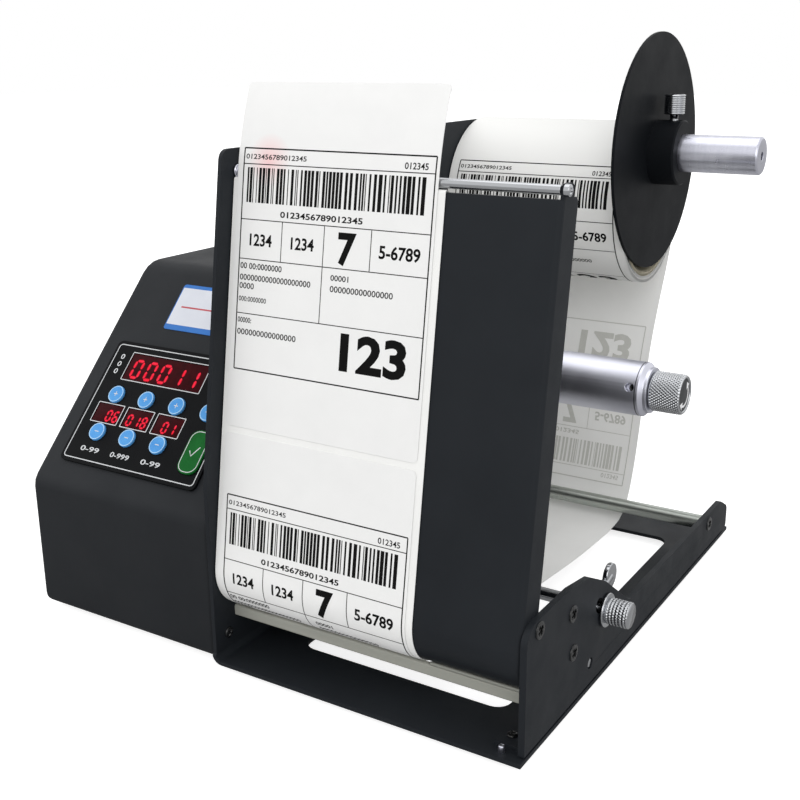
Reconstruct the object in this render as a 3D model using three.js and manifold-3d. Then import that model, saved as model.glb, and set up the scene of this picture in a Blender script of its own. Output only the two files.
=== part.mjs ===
// Electric label dispenser: bent sheet frame with a front guide tower, label roll on a plain shaft,
// motor-driven liner take-up spindle and a covered drive and counter unit on the left.
// Millimetres, +Z up, X along the roll, Y towards the back.
import * as THREE from 'three';
import { mergeVertices } from 'three/addons/utils/BufferGeometryUtils.js';
import Module from 'manifold-3d';

const wasm = await Module();
wasm.setup();
const DEG = Math.PI / 180;

// Fits and facets
const GAP = 0.3;
const PAPER_GAP = 0.05;
const PANEL_GAP = 0.05;
const ROUND_SEG = 36;
const CORNER_SEG = 5;

// Sheet frame: left plate and base bent from one sheet
const FOOT_H = 3;
const SHEET_T = 2;
const BEND_R = 5;
const BASE_W = 158;
const BASE_D = 275;
const PLATE_TOP = 237.6;
const PLATE_OVERHANG = 13;
const PLATE_REAR_LOW = 60;
const PLATE_REAR_HIGH = 100;
const PLATE_SETBACK = 1;
const PLATE_KNEE = 91;
const PLATE_CORNER = 5;
const PLATE_REAR_CORNER = 12;
const LEAN = 8.9 * DEG;
const CUT_LEFT = 26.5;
const CUT_RIGHT_MARGIN = 23.5;
const CUT_FRONT = 32;
const CUT_REAR_MARGIN = 35;
const CUT_R = 7;

// Right side wall
const WALL_T = 3;
const WALL_LIFT = 1.2;
const WALL_FRONT = 3.5;
const WALL_TOP = 62.8;
const WALL_SHOULDER_R = 9;
const WALL_HUMP_Y = 66.5;
const WALL_HUMP_R = 66;
const WALL_SLOPE_Y = 116;
const WALL_LOW_TOP = 26.6;
const WALL_LOW_R = 9;
const WALL_REAR_MARGIN = 3;
const WALL_TIP_L = 13;
const WALL_TIP_Z = 19.5;
const WALL_TIP_R = 5;
const WALL_HOLE_Y = 69.2;
const WALL_HOLE_Z = 16.2;
const WALL_HOLE_R = 2.6;
const SLOT_HALF = 3.4;
const SLOT_FORE = 9.5;
const SLOT_AFT = 9;

// Wall feet: small angles between wall and base
const BRACE_LEG = 13;
const BRACE_H = 15;
const BRACE_T = 1.5;
const BRACE_W = 14;
const BRACE_FRONT = 8;
const BRACE_REAR_MARGIN = 26;

// Front guide tower
const TOWER_T = 1.5;
const TOWER_R = 21.2;
const TOWER_CY = 24.6;
const TOWER_CZ = 48.5;
const TOWER_EDGE_R = 2.4;
const TOWER_TOP = 224.6;
const TOWER_DEPTH = 14.5;
const TOWER_LIP = 12;
const EAR_TOP = 230.2;
const EAR_FRONT = 1.6;
const EAR_DEPTH = 10;
const EAR_R = 2.5;
const FOOT_REAR = 57;
const FOOT_TOP = 56;
const FOOT_LOW = 31;
const FOOT_R = 8;
const LEFT_FOOT_TOP = 58;

// Rods and bars between the plates
const PEEL_R = 2;
const PEEL_Z = 227.9;
const BAR_Y = 15.4;
const BAR_T = 3;
const BAR_Z0 = 21.4;
const BAR_H = 5.6;
const BAR_R = 1;
const REAR_ROD_Y = 237.2;
const REAR_ROD_Z = 20.7;
const REAR_ROD_R = 4;
const GUIDE_Y = 84.5;
const GUIDE_Z = 35.8;
const GUIDE_R = 3;

// Knob that clamps the guide rod in its slot
const WASHER_R = 7.9;
const WASHER_T = 1.4;
const KNOB_R = 6.2;
const KNOB_L = 10.6;
const KNOB_EDGE = 0.7;
const KNURL_DEPTH = 0.35;
const KNURL_TEETH = 28;

// Edge collar with its spade thumb screw
const COLLAR_L = 8;
const COLLAR_R = 8;
const SPADE_TILT = 76 * DEG;
const SPADE_R = 6.2;
const SPADE_T = 2.6;
const SPADE_OUT = 23;
const SPADE_NECK_R = 2;
const SPADE_SEAT = 5;

// Supply shaft, roll and outer flange
const SHAFT_Y = 261;
const SHAFT_Z = 222;
const SHAFT_R = 10;
const SHAFT_PROUD = 7;
const SHAFT_CHAMFER = 0.8;
const SHAFT_BORE_R = 2.2;
const SHAFT_BORE_L = 12;
const SHAFT_SCREW_R = 7;
const SHAFT_SCREW_T = 3.6;
const ROLL_R = 44.5;
const CORE_BORE_R = 38.1;
const CORE_T = 2.6;
const FLANGE_R = 63.3;
const FLANGE_T = 1.6;
const HUB_R = 17.4;
const HUB_L = 14.5;
const HUB_EDGE = 0.8;
const HUB_SCREW_IN = 8.2;
const SCREW_R = 2.5;
const SCREW_NECK_R = 2.2;
const SCREW_NECK_L = 3;
const SCREW_HEAD_R = 5.6;
const SCREW_HEAD_L = 10.5;
const BORE_FIT = 0.08;

// Web: liner and labels
const LINER_X0 = 0.6;
const LINER_W = 105.5;
const LABEL_X0 = 2.8;
const LABEL_W = 100;
const LABEL_L = 150;
const LABEL_PITCH_GAP = 2.9;
const LABEL_R = 2.5;
const LINER_T = 0.25;
const LABEL_T = 0.2;
const LABEL_START_Z = 114.9;
const PEEL_SET_BACK = 5.2;
const ROLL_LEAVE = -22.8 * DEG;
const LOWER_LEAVE = 6 * DEG;
const REAR_WEB = [
  [292.2, 152.5], [283.4, 134.4], [276, 117.9], [269.8, 100.4], [264.8, 80], [260.6, 60], [254.2, 38],
  [247, 22], [238.3, 14.2], [226, 11.6], [202.7, 11.6], [175, 12.8], [125, 17.2],
];
const WEB_STEP = 7;

// Take-up spindle and its knob
const SPINDLE_Y = 126.5;
const SPINDLE_Z = 128;
const SPINDLE_R = 12.5;
const SPINDLE_X0 = 3;
const SPINDLE_PROUD = 3.4;
const SPINDLE_CHAMFER = 1.6;
const SPINDLE_NECK_R = 10.6;
const SPINDLE_NECK_L = 1.6;
const SPINDLE_HOLE_IN = 5.6;
const SPINDLE_HOLE_R = 2;
const SPINDLE_HOLE_DEPTH = 3;
const SPINDLE_HOLE_DIP = 16 * DEG;
const STUB_R = 5;
const STUB_END = -24;
const COIL_T = 1.6;
const TAKE_KNOB_R = 9.3;
const TAKE_KNOB_L = 14.5;
const TAKE_KNOB_EDGE = 0.9;
const TAKE_RECESS_R = 6.8;
const TAKE_RECESS_L = 3.5;
const TAKE_KNURL_TEETH = 36;

// Drive: bearing, belt, pulleys, motor
const BEARING_R = 8;
const BEARING_FLANGE_R = 14;
const BEARING_FLANGE_T = 4;
const PULLEY_R = 22;
const PINION_R = 8;
const PULLEY_W = 8;
const PULLEY_RIM = 1.6;
const PULLEY_RIM_T = 1;
const PULLEY_X = -19;
const BELT_T = 1.2;
const MOTOR_Y = 150;
const MOTOR_Z = 62;
const MOTOR_R = 18;
const MOTOR_L = 58;
const MOTOR_EDGE = 1.5;
const MOTOR_CAP_R = 7;
const MOTOR_CAP_L = 4;
const MOTOR_SHAFT_R = 3;
const MOUNT_T = 2;
const MOUNT_X = -26;
const MOUNT_Y0 = 130;
const MOUNT_Y1 = 170;
const MOUNT_TOP = 84;
const MOUNT_LEG_Z = 38;
const MOUNT_FOOT_Z = 24;
const MOUNT_HOLE_R = 5;

// Housing of the drive and counter
const HOUSE_LEFT = -118.7;
const HOUSE_FRONT = 2.4;
const HOUSE_RIDGE = 71.6;
const HOUSE_TOP = 168.4;
const HOUSE_REAR = 215;
const HOUSE_T = 1.6;
const HOUSE_EDGE = 3;
const HOUSE_RIDGE_R = 7;
const HOUSE_TOP_R = 14;
const HOUSE_REAR_R = 7;
const HOUSE_LOW_R = 2.4;
const SLOPE = 46.33 * DEG;

// Control panel, on the slope: u along X, v up the slope, h out of it
const PANEL_LEFT = -106.6;
const PANEL_W = 89.2;
const PANEL_LOW = 13.6;
const PANEL_L = 69.8;
const PANEL_R = 3;
const PANEL_H = 1.4;
const DISPLAY_H = 1.1;
const MAIN_U0 = -92.8;
const MAIN_W = 51.4;
const MAIN_V0 = 62.4;
const MAIN_H = 14.8;
const SMALL_W = 16.6;
const SMALL_H = 9.9;
const SMALL_V0 = 37.3;
const KEY_PITCH = 20.4;
const KEY_U = -90.4;
const KEY_PLUS_V = 53;
const KEY_MINUS_V = 31.4;
const KEY_R = 4.8;
const KEY_LOW = 1;
const KEY_TOP = 2.5;
const KEY_EDGE = 0.5;
const CONFIRM_U = -26.4;
const CONFIRM_V = 32;
const CONFIRM_W = 12.6;
const CONFIRM_L = 23;
const CONFIRM_R = 5.2;
const BOARD_DEPTH = 12;
const BOARD_T = 1.6;
const BOARD_IN = 4;
const BOARD_POST_R = 2.5;

// Power inlet and rocker on the back of the housing
const INLET_X = -62;
const INLET_Z = 46;
const INLET_W = 28;
const INLET_H = 52;
const INLET_FLANGE = 2.5;
const INLET_FLANGE_T = 2;
const INLET_DEPTH = 24;
const SOCKET_W = 22;
const SOCKET_H = 14;
const SOCKET_DEPTH = 16;
const SOCKET_DROP = 13;
const PIN_W = 2;
const PIN_H = 4;
const PIN_L = 12;
const PIN_PITCH = 7;
const ROCKER_RISE = 12;
const ROCKER_R = 9.4;
const ROCKER_W = 12;
const ROCKER_PIVOT = 5;
const ROCKER_TILT = 9 * DEG;
const ROCKER_BACK = 3;
const ROCKER_MIDDLE = 3.6;
const ROCKER_SPREAD = 57 * DEG;

// Peel sensor on its bracket
const SENSOR_X = 12;
const SENSOR_W = 12;
const SENSOR_Y = 58;
const SENSOR_D = 22;
const SENSOR_Z = 219;
const SENSOR_H = 10;
const SENSOR_LENS_R = 3;
const SENSOR_LENS_L = 1.5;
const BRACKET_T = 1.5;
const BRACKET_TAB = 7;

// Feet
const FOOT_R0 = 7;
const FOOT_R1 = 6;
const FOOT_IN = 14;

// Derived places
const PLATE_REAR = BASE_D + PLATE_OVERHANG;
const WALL_X = BASE_W - WALL_T;
const WALL_REAR = BASE_D - WALL_REAR_MARGIN;
const WALL_TIP_Y = WALL_REAR - WALL_TIP_L;
const BRACE_REAR = BASE_D - BRACE_REAR_MARGIN;
const COLLAR_X = WALL_X - GAP - COLLAR_L;
const SHAFT_END = BASE_W + SHAFT_PROUD;
const SPINDLE_END = WALL_X + SPINDLE_PROUD;
const SPINDLE_HOLE_X = SPINDLE_END - SPINDLE_HOLE_IN;
const BASE_TOP = FOOT_H + SHEET_T;
const WALL_LOW = BASE_TOP + WALL_LIFT;
const SLOPE_Y = HOUSE_FRONT;
const SLOPE_Z = HOUSE_RIDGE;
const LEAN_T = [Math.sin(LEAN), Math.cos(LEAN)];
const LEAN_N = [-Math.cos(LEAN), Math.sin(LEAN)];
const PATH_R = TOWER_R + GAP;
const FACE_Y = TOWER_CY + LEAN_N[0] * TOWER_R;
const FACE_Z = TOWER_CZ + LEAN_N[1] * TOWER_R;
const faceY = (z) => FACE_Y + (z - FACE_Z) * Math.tan(LEAN);
const PEEL_Y = faceY(PEEL_Z) - (GAP - PEEL_R - GAP) / Math.cos(LEAN);
const COIL_R = SPINDLE_R + GAP + COIL_T;
const ROLL_Y = SHAFT_Y;
const ROLL_Z = SHAFT_Z + SHAFT_R + GAP - CORE_BORE_R;
const FLANGE_X = LINER_X0 + LINER_W + GAP;
const SLOT_ANGLE = Math.atan2(WALL_LOW_TOP - WALL_TOP, WALL_SLOPE_Y - WALL_HUMP_Y);
const KNOB_X = BASE_W + GAP;
const PULLEY_MID = PULLEY_X + PULLEY_W / 2;

const parts = new THREE.Group();
parts.name = 'label_dispenser';

const LOOKS = {
  plate: [0x26282b, 0.55, 0.3],
  housing: [0x303236, 0.7, 0.2],
  steel: [0xb9bbbd, 0.25, 1],
  alloy: [0xb4b6c2, 0.35, 0.9],
  flatbar: [0x9c9d95, 0.5, 0.7],
  paper: [0xf0f0ee, 0.8, 0],
  liner: [0xdcdcd6, 0.75, 0],
  card: [0xb39a74, 0.9, 0],
  film: [0x17191c, 0.45, 0],
  display: [0x4a0d10, 0.3, 0],
  key: [0x5aa6dc, 0.5, 0],
  confirm: [0x2c7a45, 0.5, 0],
  board: [0x1f5a34, 0.6, 0],
  rubber: [0x161616, 0.9, 0],
  plastic: [0x1b1c1e, 0.6, 0],
  motor: [0x8d8f92, 0.4, 0.8],
};

function add(name, geometry, look) {
  const [color, roughness, metalness] = LOOKS[look];
  const material = new THREE.MeshStandardMaterial({ color, roughness, metalness });
  material.name = look;
  const mesh = new THREE.Mesh(geometry, material);
  mesh.name = name;
  parts.add(mesh);
}

// Outline helpers
function filleted(points) {
  const out = [];
  const n = points.length;
  points.forEach(([x, y, r], i) => {
    if (!r) {
      out.push(new THREE.Vector2(x, y));
      return;
    }
    const a = points[(i + n - 1) % n];
    const b = points[(i + 1) % n];
    const p = new THREE.Vector2(x, y);
    const u = new THREE.Vector2(a[0] - x, a[1] - y).normalize();
    const v = new THREE.Vector2(b[0] - x, b[1] - y).normalize();
    const half = Math.acos(Math.max(-1, Math.min(1, u.dot(v)))) / 2;
    const along = r / Math.tan(half);
    const centre = p.clone().add(u.clone().add(v).normalize().multiplyScalar(r / Math.sin(half)));
    const start = p.clone().addScaledVector(u, along).sub(centre);
    const end = p.clone().addScaledVector(v, along).sub(centre);
    let sweep = end.angle() - start.angle();
    while (sweep > Math.PI) sweep -= 2 * Math.PI;
    while (sweep < -Math.PI) sweep += 2 * Math.PI;
    const steps = Math.max(2, Math.round((CORNER_SEG * Math.abs(sweep)) / (Math.PI / 2)));
    for (let k = 0; k <= steps; k += 1) {
      const q = start.clone().rotateAround(new THREE.Vector2(0, 0), (sweep * k) / steps);
      out.push(q.add(centre));
    }
  });
  return out;
}

function rectangle(x0, y0, x1, y1, r = 0) {
  return filleted([[x0, y0, r], [x1, y0, r], [x1, y1, r], [x0, y1, r]]);
}

function circle(cx, cy, r, segments = ROUND_SEG) {
  const out = [];
  for (let k = 0; k < segments; k += 1) {
    const t = (2 * Math.PI * k) / segments;
    out.push(new THREE.Vector2(cx + r * Math.cos(t), cy + r * Math.sin(t)));
  }
  return out;
}

function arc(cx, cy, r, from, to, steps) {
  const out = [];
  for (let k = 0; k <= steps; k += 1) {
    const t = from + ((to - from) * k) / steps;
    out.push([cx + r * Math.cos(t), cy + r * Math.sin(t)]);
  }
  return out;
}

function slotOutline(cy, cz, half, fore, aft, angle) {
  const dir = [Math.cos(angle), Math.sin(angle)];
  const a = arc(cy + dir[0] * aft, cz + dir[1] * aft, half, angle - Math.PI / 2, angle + Math.PI / 2, 8);
  const b = arc(cy - dir[0] * fore, cz - dir[1] * fore, half, angle + Math.PI / 2, angle + 1.5 * Math.PI, 8);
  return [...a, ...b].map(([p, q]) => new THREE.Vector2(p, q));
}

function knurled(r, depth, teeth) {
  const out = [];
  for (let k = 0; k < teeth * 2; k += 1) {
    const t = (Math.PI * k) / teeth;
    const q = k % 2 ? r - depth : r;
    out.push(new THREE.Vector2(q * Math.cos(t), q * Math.sin(t)));
  }
  return out;
}

function ring(outer, holes = []) {
  const shape = new THREE.Shape(outer);
  holes.forEach((hole) => shape.holes.push(new THREE.Path(hole)));
  return shape;
}

// Solids from outlines
const basisX = new THREE.Matrix4().makeBasis(
  new THREE.Vector3(0, 1, 0), new THREE.Vector3(0, 0, 1), new THREE.Vector3(1, 0, 0));
const basisY = new THREE.Matrix4().makeBasis(
  new THREE.Vector3(1, 0, 0), new THREE.Vector3(0, 0, 1), new THREE.Vector3(0, -1, 0));

function extrude(shape, depth, bevel = 0, steps = 3) {
  return new THREE.ExtrudeGeometry(shape, {
    depth: depth - 2 * bevel,
    bevelEnabled: bevel > 0,
    bevelThickness: bevel,
    bevelSize: bevel,
    bevelOffset: -bevel,
    bevelSegments: steps,
    steps: 1,
    curveSegments: ROUND_SEG,
  }).translate(0, 0, bevel);
}

function extrudeX(shape, x0, x1, bevel = 0, steps = 3) {
  return extrude(shape, x1 - x0, bevel, steps).applyMatrix4(basisX).translate(x0, 0, 0);
}

function extrudeY(shape, y0, y1, bevel = 0) {
  return extrude(shape, y1 - y0, bevel).applyMatrix4(basisY).translate(0, y1, 0);
}

function extrudeZ(shape, z0, z1, bevel = 0) {
  return extrude(shape, z1 - z0, bevel).translate(0, 0, z0);
}

function turned(profile, segments = ROUND_SEG) {
  const points = profile.map(([r, a]) => new THREE.Vector2(r, a));
  return new THREE.LatheGeometry(points, segments);
}

function turnedX(profile, y, z, segments = ROUND_SEG) {
  return turned(profile, segments).rotateZ(-Math.PI / 2).translate(0, y, z);
}

function turnedZ(profile, x, y, segments = ROUND_SEG) {
  return turned(profile, segments).rotateX(Math.PI / 2).translate(x, y, 0);
}

function box(x0, y0, z0, x1, y1, z1) {
  return new THREE.BoxGeometry(x1 - x0, y1 - y0, z1 - z0)
    .translate((x0 + x1) / 2, (y0 + y1) / 2, (z0 + z1) / 2);
}

function solid(geometry) {
  const bare = geometry.clone();
  bare.deleteAttribute('normal');
  bare.deleteAttribute('uv');
  const merged = mergeVertices(bare, 1e-4);
  return new wasm.Manifold(new wasm.Mesh({
    numProp: 3,
    vertProperties: new Float32Array(merged.attributes.position.array),
    triVerts: new Uint32Array(merged.index.array),
  }));
}

function faceted(manifold) {
  const mesh = manifold.getMesh();
  const geometry = new THREE.BufferGeometry();
  geometry.setAttribute('position', new THREE.BufferAttribute(new Float32Array(mesh.vertProperties), 3));
  geometry.setIndex(new THREE.BufferAttribute(new Uint32Array(mesh.triVerts), 1));
  const flat = geometry.toNonIndexed();
  flat.computeVertexNormals();
  return flat;
}

function join(...items) {
  return items.map((g) => (g.isBufferGeometry ? solid(g) : g)).reduce((a, b) => a.add(b));
}

function cut(body, ...tools) {
  let result = body.isBufferGeometry ? solid(body) : body;
  tools.forEach((g) => {
    result = result.subtract(g.isBufferGeometry ? solid(g) : g);
  });
  return result;
}

function keep(body, tool) {
  const result = body.isBufferGeometry ? solid(body) : body;
  return result.intersect(tool.isBufferGeometry ? solid(tool) : tool);
}

// Sheet frame
{
  const past = SHEET_T;
  const inner = BEND_R - SHEET_T;
  const section = filleted([
    [-SHEET_T, FOOT_H, BEND_R], [BASE_W, FOOT_H, 0], [BASE_W, BASE_TOP, 0],
    [0, BASE_TOP, inner], [0, PLATE_TOP, 0], [-SHEET_T, PLATE_TOP, 0],
  ]);
  const bent = extrudeY(ring(section), 0, PLATE_REAR);
  const topFront = PLATE_SETBACK + (PLATE_TOP - PLATE_KNEE) * Math.tan(LEAN);
  const side = filleted([
    [0, FOOT_H, 0], [BASE_D, FOOT_H, 0], [BASE_D, PLATE_REAR_LOW, PLATE_REAR_CORNER],
    [PLATE_REAR, PLATE_REAR_HIGH, PLATE_REAR_CORNER], [PLATE_REAR, PLATE_TOP, PLATE_REAR_CORNER],
    [topFront, PLATE_TOP, PLATE_CORNER], [PLATE_SETBACK, PLATE_KNEE, PLATE_REAR_CORNER],
    [PLATE_SETBACK, FOOT_H + BEND_R, 0], [0, FOOT_H + BEND_R - PLATE_SETBACK, 0],
  ]);
  const upright = extrudeX(ring(side), -SHEET_T, BEND_R - SHEET_T);
  const floor = box(BEND_R - SHEET_T, 0, FOOT_H, BASE_W, BASE_D, BASE_TOP);
  const slot = slotOutline(GUIDE_Y, GUIDE_Z, SLOT_HALF, SLOT_FORE, SLOT_AFT, SLOT_ANGLE);
  const tools = [
    extrudeZ(ring(rectangle(CUT_LEFT, CUT_FRONT, BASE_W - CUT_RIGHT_MARGIN, BASE_D - CUT_REAR_MARGIN, CUT_R)), FOOT_H - past, BASE_TOP + past),
    extrudeX(ring(circle(SPINDLE_Y, SPINDLE_Z, BEARING_R + GAP)), -SHEET_T - past, past),
    extrudeX(ring(slot), -SHEET_T - past, past),
  ];
  add('frame', faceted(cut(keep(bent, join(upright, floor)), ...tools)), 'plate');
}

// Right side wall with its slanted slot
{
  const past = WALL_T;
  const outline = filleted([
    [WALL_FRONT, WALL_LOW, 0], [WALL_REAR, WALL_LOW, WALL_TIP_R / 2], [WALL_REAR, WALL_TIP_Z, WALL_TIP_R],
    [WALL_TIP_Y, WALL_LOW_TOP, WALL_TIP_R], [WALL_SLOPE_Y, WALL_LOW_TOP, WALL_LOW_R],
    [WALL_HUMP_Y, WALL_TOP, WALL_HUMP_R], [WALL_FRONT, WALL_TOP, WALL_SHOULDER_R],
  ]);
  const slot = slotOutline(GUIDE_Y, GUIDE_Z, SLOT_HALF, SLOT_FORE, SLOT_AFT, SLOT_ANGLE);
  const wall = cut(
    extrudeX(ring(outline), WALL_X, BASE_W),
    extrudeX(ring(slot), WALL_X - past, BASE_W + past),
    extrudeX(ring(circle(WALL_HOLE_Y, WALL_HOLE_Z, WALL_HOLE_R)), WALL_X - past, BASE_W + past),
  );
  add('side_wall', faceted(wall), 'plate');
}

// Angles that hold the wall to the base
[['wall_angle_front', BRACE_FRONT], ['wall_angle_rear', BRACE_REAR]].forEach(([name, y]) => {
  const section = filleted([
    [WALL_X - BRACE_LEG, BASE_TOP, 0], [WALL_X, BASE_TOP, BRACE_T], [WALL_X, BASE_TOP + BRACE_H, 0],
    [WALL_X - BRACE_T, BASE_TOP + BRACE_H, 0], [WALL_X - BRACE_T, BASE_TOP + BRACE_T, BRACE_T / 2],
    [WALL_X - BRACE_LEG, BASE_TOP + BRACE_T, 0],
  ]);
  add(name, extrudeY(ring(section), y, y + BRACE_W), 'plate');
});

// Front guide tower: a folded sheet with a rolled lower lip, flanges and ears
{
  const far = FOOT_REAR + TOWER_DEPTH;
  const x0 = GAP;
  const turn = Math.PI - LEAN;
  const outlineAt = (inset) => {
    const r = TOWER_R - inset;
    const top = [TOWER_CY + LEAN_N[0] * r, TOWER_CZ + LEAN_N[1] * r];
    const rise = (EAR_TOP + TOWER_DEPTH - top[1]) / LEAN_T[1];
    return [
      [far + inset, TOWER_CZ - r], ...arc(TOWER_CY, TOWER_CZ, r, 1.5 * Math.PI, turn, 14),
      [top[0] + LEAN_T[0] * rise, top[1] + LEAN_T[1] * rise], [far + inset, top[1] + LEAN_T[1] * rise],
    ].map(([y, z]) => new THREE.Vector2(y, z)).reverse();
  };
  const skin = extrudeX(ring(outlineAt(0)), x0, WALL_X, TOWER_EDGE_R, 4);
  const hollow = extrudeX(ring(outlineAt(TOWER_T)), x0 + TOWER_T, WALL_X - TOWER_T, TOWER_EDGE_R - TOWER_T, 2);
  const shift = EAR_FRONT / Math.cos(LEAN);
  const earFace = faceY(EAR_TOP) + shift;
  const flange = filleted([
    [-FOOT_R, TOWER_CZ - TOWER_R - TOWER_T, 0], [TOWER_CY + TOWER_LIP, TOWER_CZ - TOWER_R - TOWER_T, 0],
    [TOWER_CY + TOWER_LIP, FOOT_LOW, 0], [FOOT_REAR, FOOT_LOW, FOOT_R], [FOOT_REAR, FOOT_TOP, FOOT_R],
    [faceY(FOOT_TOP) + TOWER_DEPTH, FOOT_TOP, FOOT_R / 2],
    [faceY(TOWER_TOP) + TOWER_DEPTH, TOWER_TOP, EAR_R], [faceY(TOWER_TOP) + EAR_DEPTH, TOWER_TOP, 0],
    [faceY(EAR_TOP) + EAR_DEPTH, EAR_TOP, EAR_R], [earFace, EAR_TOP, EAR_R],
    [faceY(TOWER_TOP) + shift, TOWER_TOP, 0], [-FOOT_R, TOWER_TOP, 0],
  ]);
  const tray = keep(cut(skin, hollow), extrudeX(ring(flange), x0, WALL_X));
  const across = [x0 - TOWER_T, WALL_X - TOWER_T];
  const window = box(across[0], -FOOT_R, TOWER_TOP, across[1], far, EAR_TOP + TOWER_T);
  const leanCut = new THREE.Shape(filleted([
    [faceY(LEFT_FOOT_TOP) + TOWER_T, LEFT_FOOT_TOP, 0], [far, LEFT_FOOT_TOP, 0], [far, EAR_TOP + TOWER_T, 0],
    [faceY(EAR_TOP + TOWER_T) + TOWER_T, EAR_TOP + TOWER_T, 0],
  ]));
  const leftSide = extrudeX(leanCut, across[0], x0 + TOWER_EDGE_R);
  const lip = box(across[0], TOWER_CY + TOWER_LIP, 0, across[1] - GAP, far, FOOT_LOW);
  add('front_tower', faceted(cut(tray, window, leftSide, lip)), 'plate');
}

// Rods and bars
add('peel_rod', turnedX([[0, 0], [PEEL_R, 0], [PEEL_R, WALL_X - TOWER_T], [0, WALL_X - TOWER_T]],
  PEEL_Y, PEEL_Z, 24), 'steel');
add('guide_bar', extrudeX(ring(rectangle(BAR_Y, BAR_Z0, BAR_Y + BAR_T, BAR_Z0 + BAR_H, BAR_R)), 0, WALL_X),
  'flatbar');
add('rear_rod', turnedX([[0, 0], [REAR_ROD_R, 0], [REAR_ROD_R, WALL_X], [0, WALL_X]],
  REAR_ROD_Y, REAR_ROD_Z), 'steel');
add('guide_rod', turnedX([
  [0, -SHEET_T], [GUIDE_R, -SHEET_T], [GUIDE_R, BASE_W], [0, BASE_W],
], GUIDE_Y, GUIDE_Z, 24), 'steel');

// Knob outside the wall
{
  const washer = turnedX([[0, KNOB_X], [WASHER_R, KNOB_X], [WASHER_R, KNOB_X + WASHER_T],
    [0, KNOB_X + WASHER_T]], GUIDE_Y, GUIDE_Z);
  const x0 = KNOB_X + WASHER_T - KNOB_EDGE;
  const grip = extrudeX(ring(knurled(KNOB_R, KNURL_DEPTH, KNURL_TEETH)), x0, x0 + KNOB_L + KNOB_EDGE, KNOB_EDGE, 1)
    .translate(0, GUIDE_Y, GUIDE_Z);
  add('edge_knob', faceted(join(washer, grip)), 'steel');
}

// Edge collar and its spade thumb screw
{
  const bore = GUIDE_R + BORE_FIT;
  const collar = turnedX([[bore, COLLAR_X], [COLLAR_R - KNOB_EDGE, COLLAR_X], [COLLAR_R, COLLAR_X + KNOB_EDGE],
    [COLLAR_R, COLLAR_X + COLLAR_L - KNOB_EDGE], [COLLAR_R - KNOB_EDGE, COLLAR_X + COLLAR_L],
    [bore, COLLAR_X + COLLAR_L], [bore, COLLAR_X]], GUIDE_Y, GUIDE_Z);
  const mid = COLLAR_X + COLLAR_L / 2;
  const tilt = (g) => g.rotateX(-SPADE_TILT).translate(mid, GUIDE_Y, GUIDE_Z);
  const socket = tilt(turned([[0, SPADE_SEAT - GAP], [SPADE_NECK_R + GAP, SPADE_SEAT - GAP],
    [SPADE_NECK_R + GAP, COLLAR_R + SPADE_NECK_R], [0, COLLAR_R + SPADE_NECK_R]], 20).rotateX(Math.PI / 2));
  add('guide_collar', faceted(cut(collar, socket)), 'steel');
  const neck = turned([[0, SPADE_SEAT], [SPADE_NECK_R, SPADE_SEAT], [SPADE_NECK_R, SPADE_OUT], [0, SPADE_OUT]], 20)
    .rotateX(Math.PI / 2);
  const blade = extrudeX(ring(circle(0, SPADE_OUT, SPADE_R)), -SPADE_T / 2, SPADE_T / 2, SPADE_T / 4, 2);
  add('collar_screw', faceted(join(tilt(neck), tilt(blade))), 'steel');
}

// Supply shaft and the screw head that holds it on the plate's far side
{
  const body = turnedX([
    [0, 0], [SHAFT_R, 0], [SHAFT_R, SHAFT_END - SHAFT_CHAMFER], [SHAFT_R - SHAFT_CHAMFER, SHAFT_END],
    [SHAFT_BORE_R, SHAFT_END], [SHAFT_BORE_R, SHAFT_END - SHAFT_BORE_L], [0, SHAFT_END - SHAFT_BORE_L],
  ], SHAFT_Y, SHAFT_Z, 48);
  add('supply_shaft', body, 'alloy');
  const head = -SHEET_T - SHAFT_SCREW_T;
  add('shaft_screw', turnedX([[0, head], [SHAFT_SCREW_R - SHAFT_CHAMFER, head],
    [SHAFT_SCREW_R, head + SHAFT_CHAMFER], [SHAFT_SCREW_R, -SHEET_T], [0, -SHEET_T]], SHAFT_Y, SHAFT_Z, 30), 'steel');
}

// Outer flange and thumb screw
{
  const bore = SHAFT_R + BORE_FIT;
  const x1 = FLANGE_X + FLANGE_T;
  const x2 = x1 + HUB_L;
  const disc = turnedX([
    [bore, FLANGE_X], [FLANGE_R, FLANGE_X], [FLANGE_R, x1], [HUB_R, x1], [HUB_R, x2 - HUB_EDGE],
    [HUB_R - HUB_EDGE, x2], [bore, x2], [bore, FLANGE_X],
  ], SHAFT_Y, SHAFT_Z, 72);
  const sx = x1 + HUB_SCREW_IN;
  const hole = turnedZ([[0, SHAFT_R], [SCREW_R + GAP, SHAFT_R], [SCREW_R + GAP, HUB_R + SCREW_R],
    [0, HUB_R + SCREW_R]], sx, SHAFT_Y, 20).translate(0, 0, SHAFT_Z);
  add('outer_flange', faceted(cut(disc, hole)), 'plate');
  const tip = SHAFT_R + GAP;
  const neckTop = HUB_R + SCREW_NECK_L;
  const stem = turnedZ([[0, tip], [SCREW_R, tip], [SCREW_R, HUB_R + GAP], [SCREW_NECK_R, HUB_R + GAP],
    [SCREW_NECK_R, neckTop], [0, neckTop]], 0, 0, 20);
  const head = extrudeZ(ring(knurled(SCREW_HEAD_R, KNURL_DEPTH, KNURL_TEETH)), neckTop - KNOB_EDGE,
    neckTop + SCREW_HEAD_L, KNOB_EDGE);
  add('flange_screw', faceted(join(stem, head)).translate(sx, SHAFT_Y, SHAFT_Z), 'steel');
}

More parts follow.
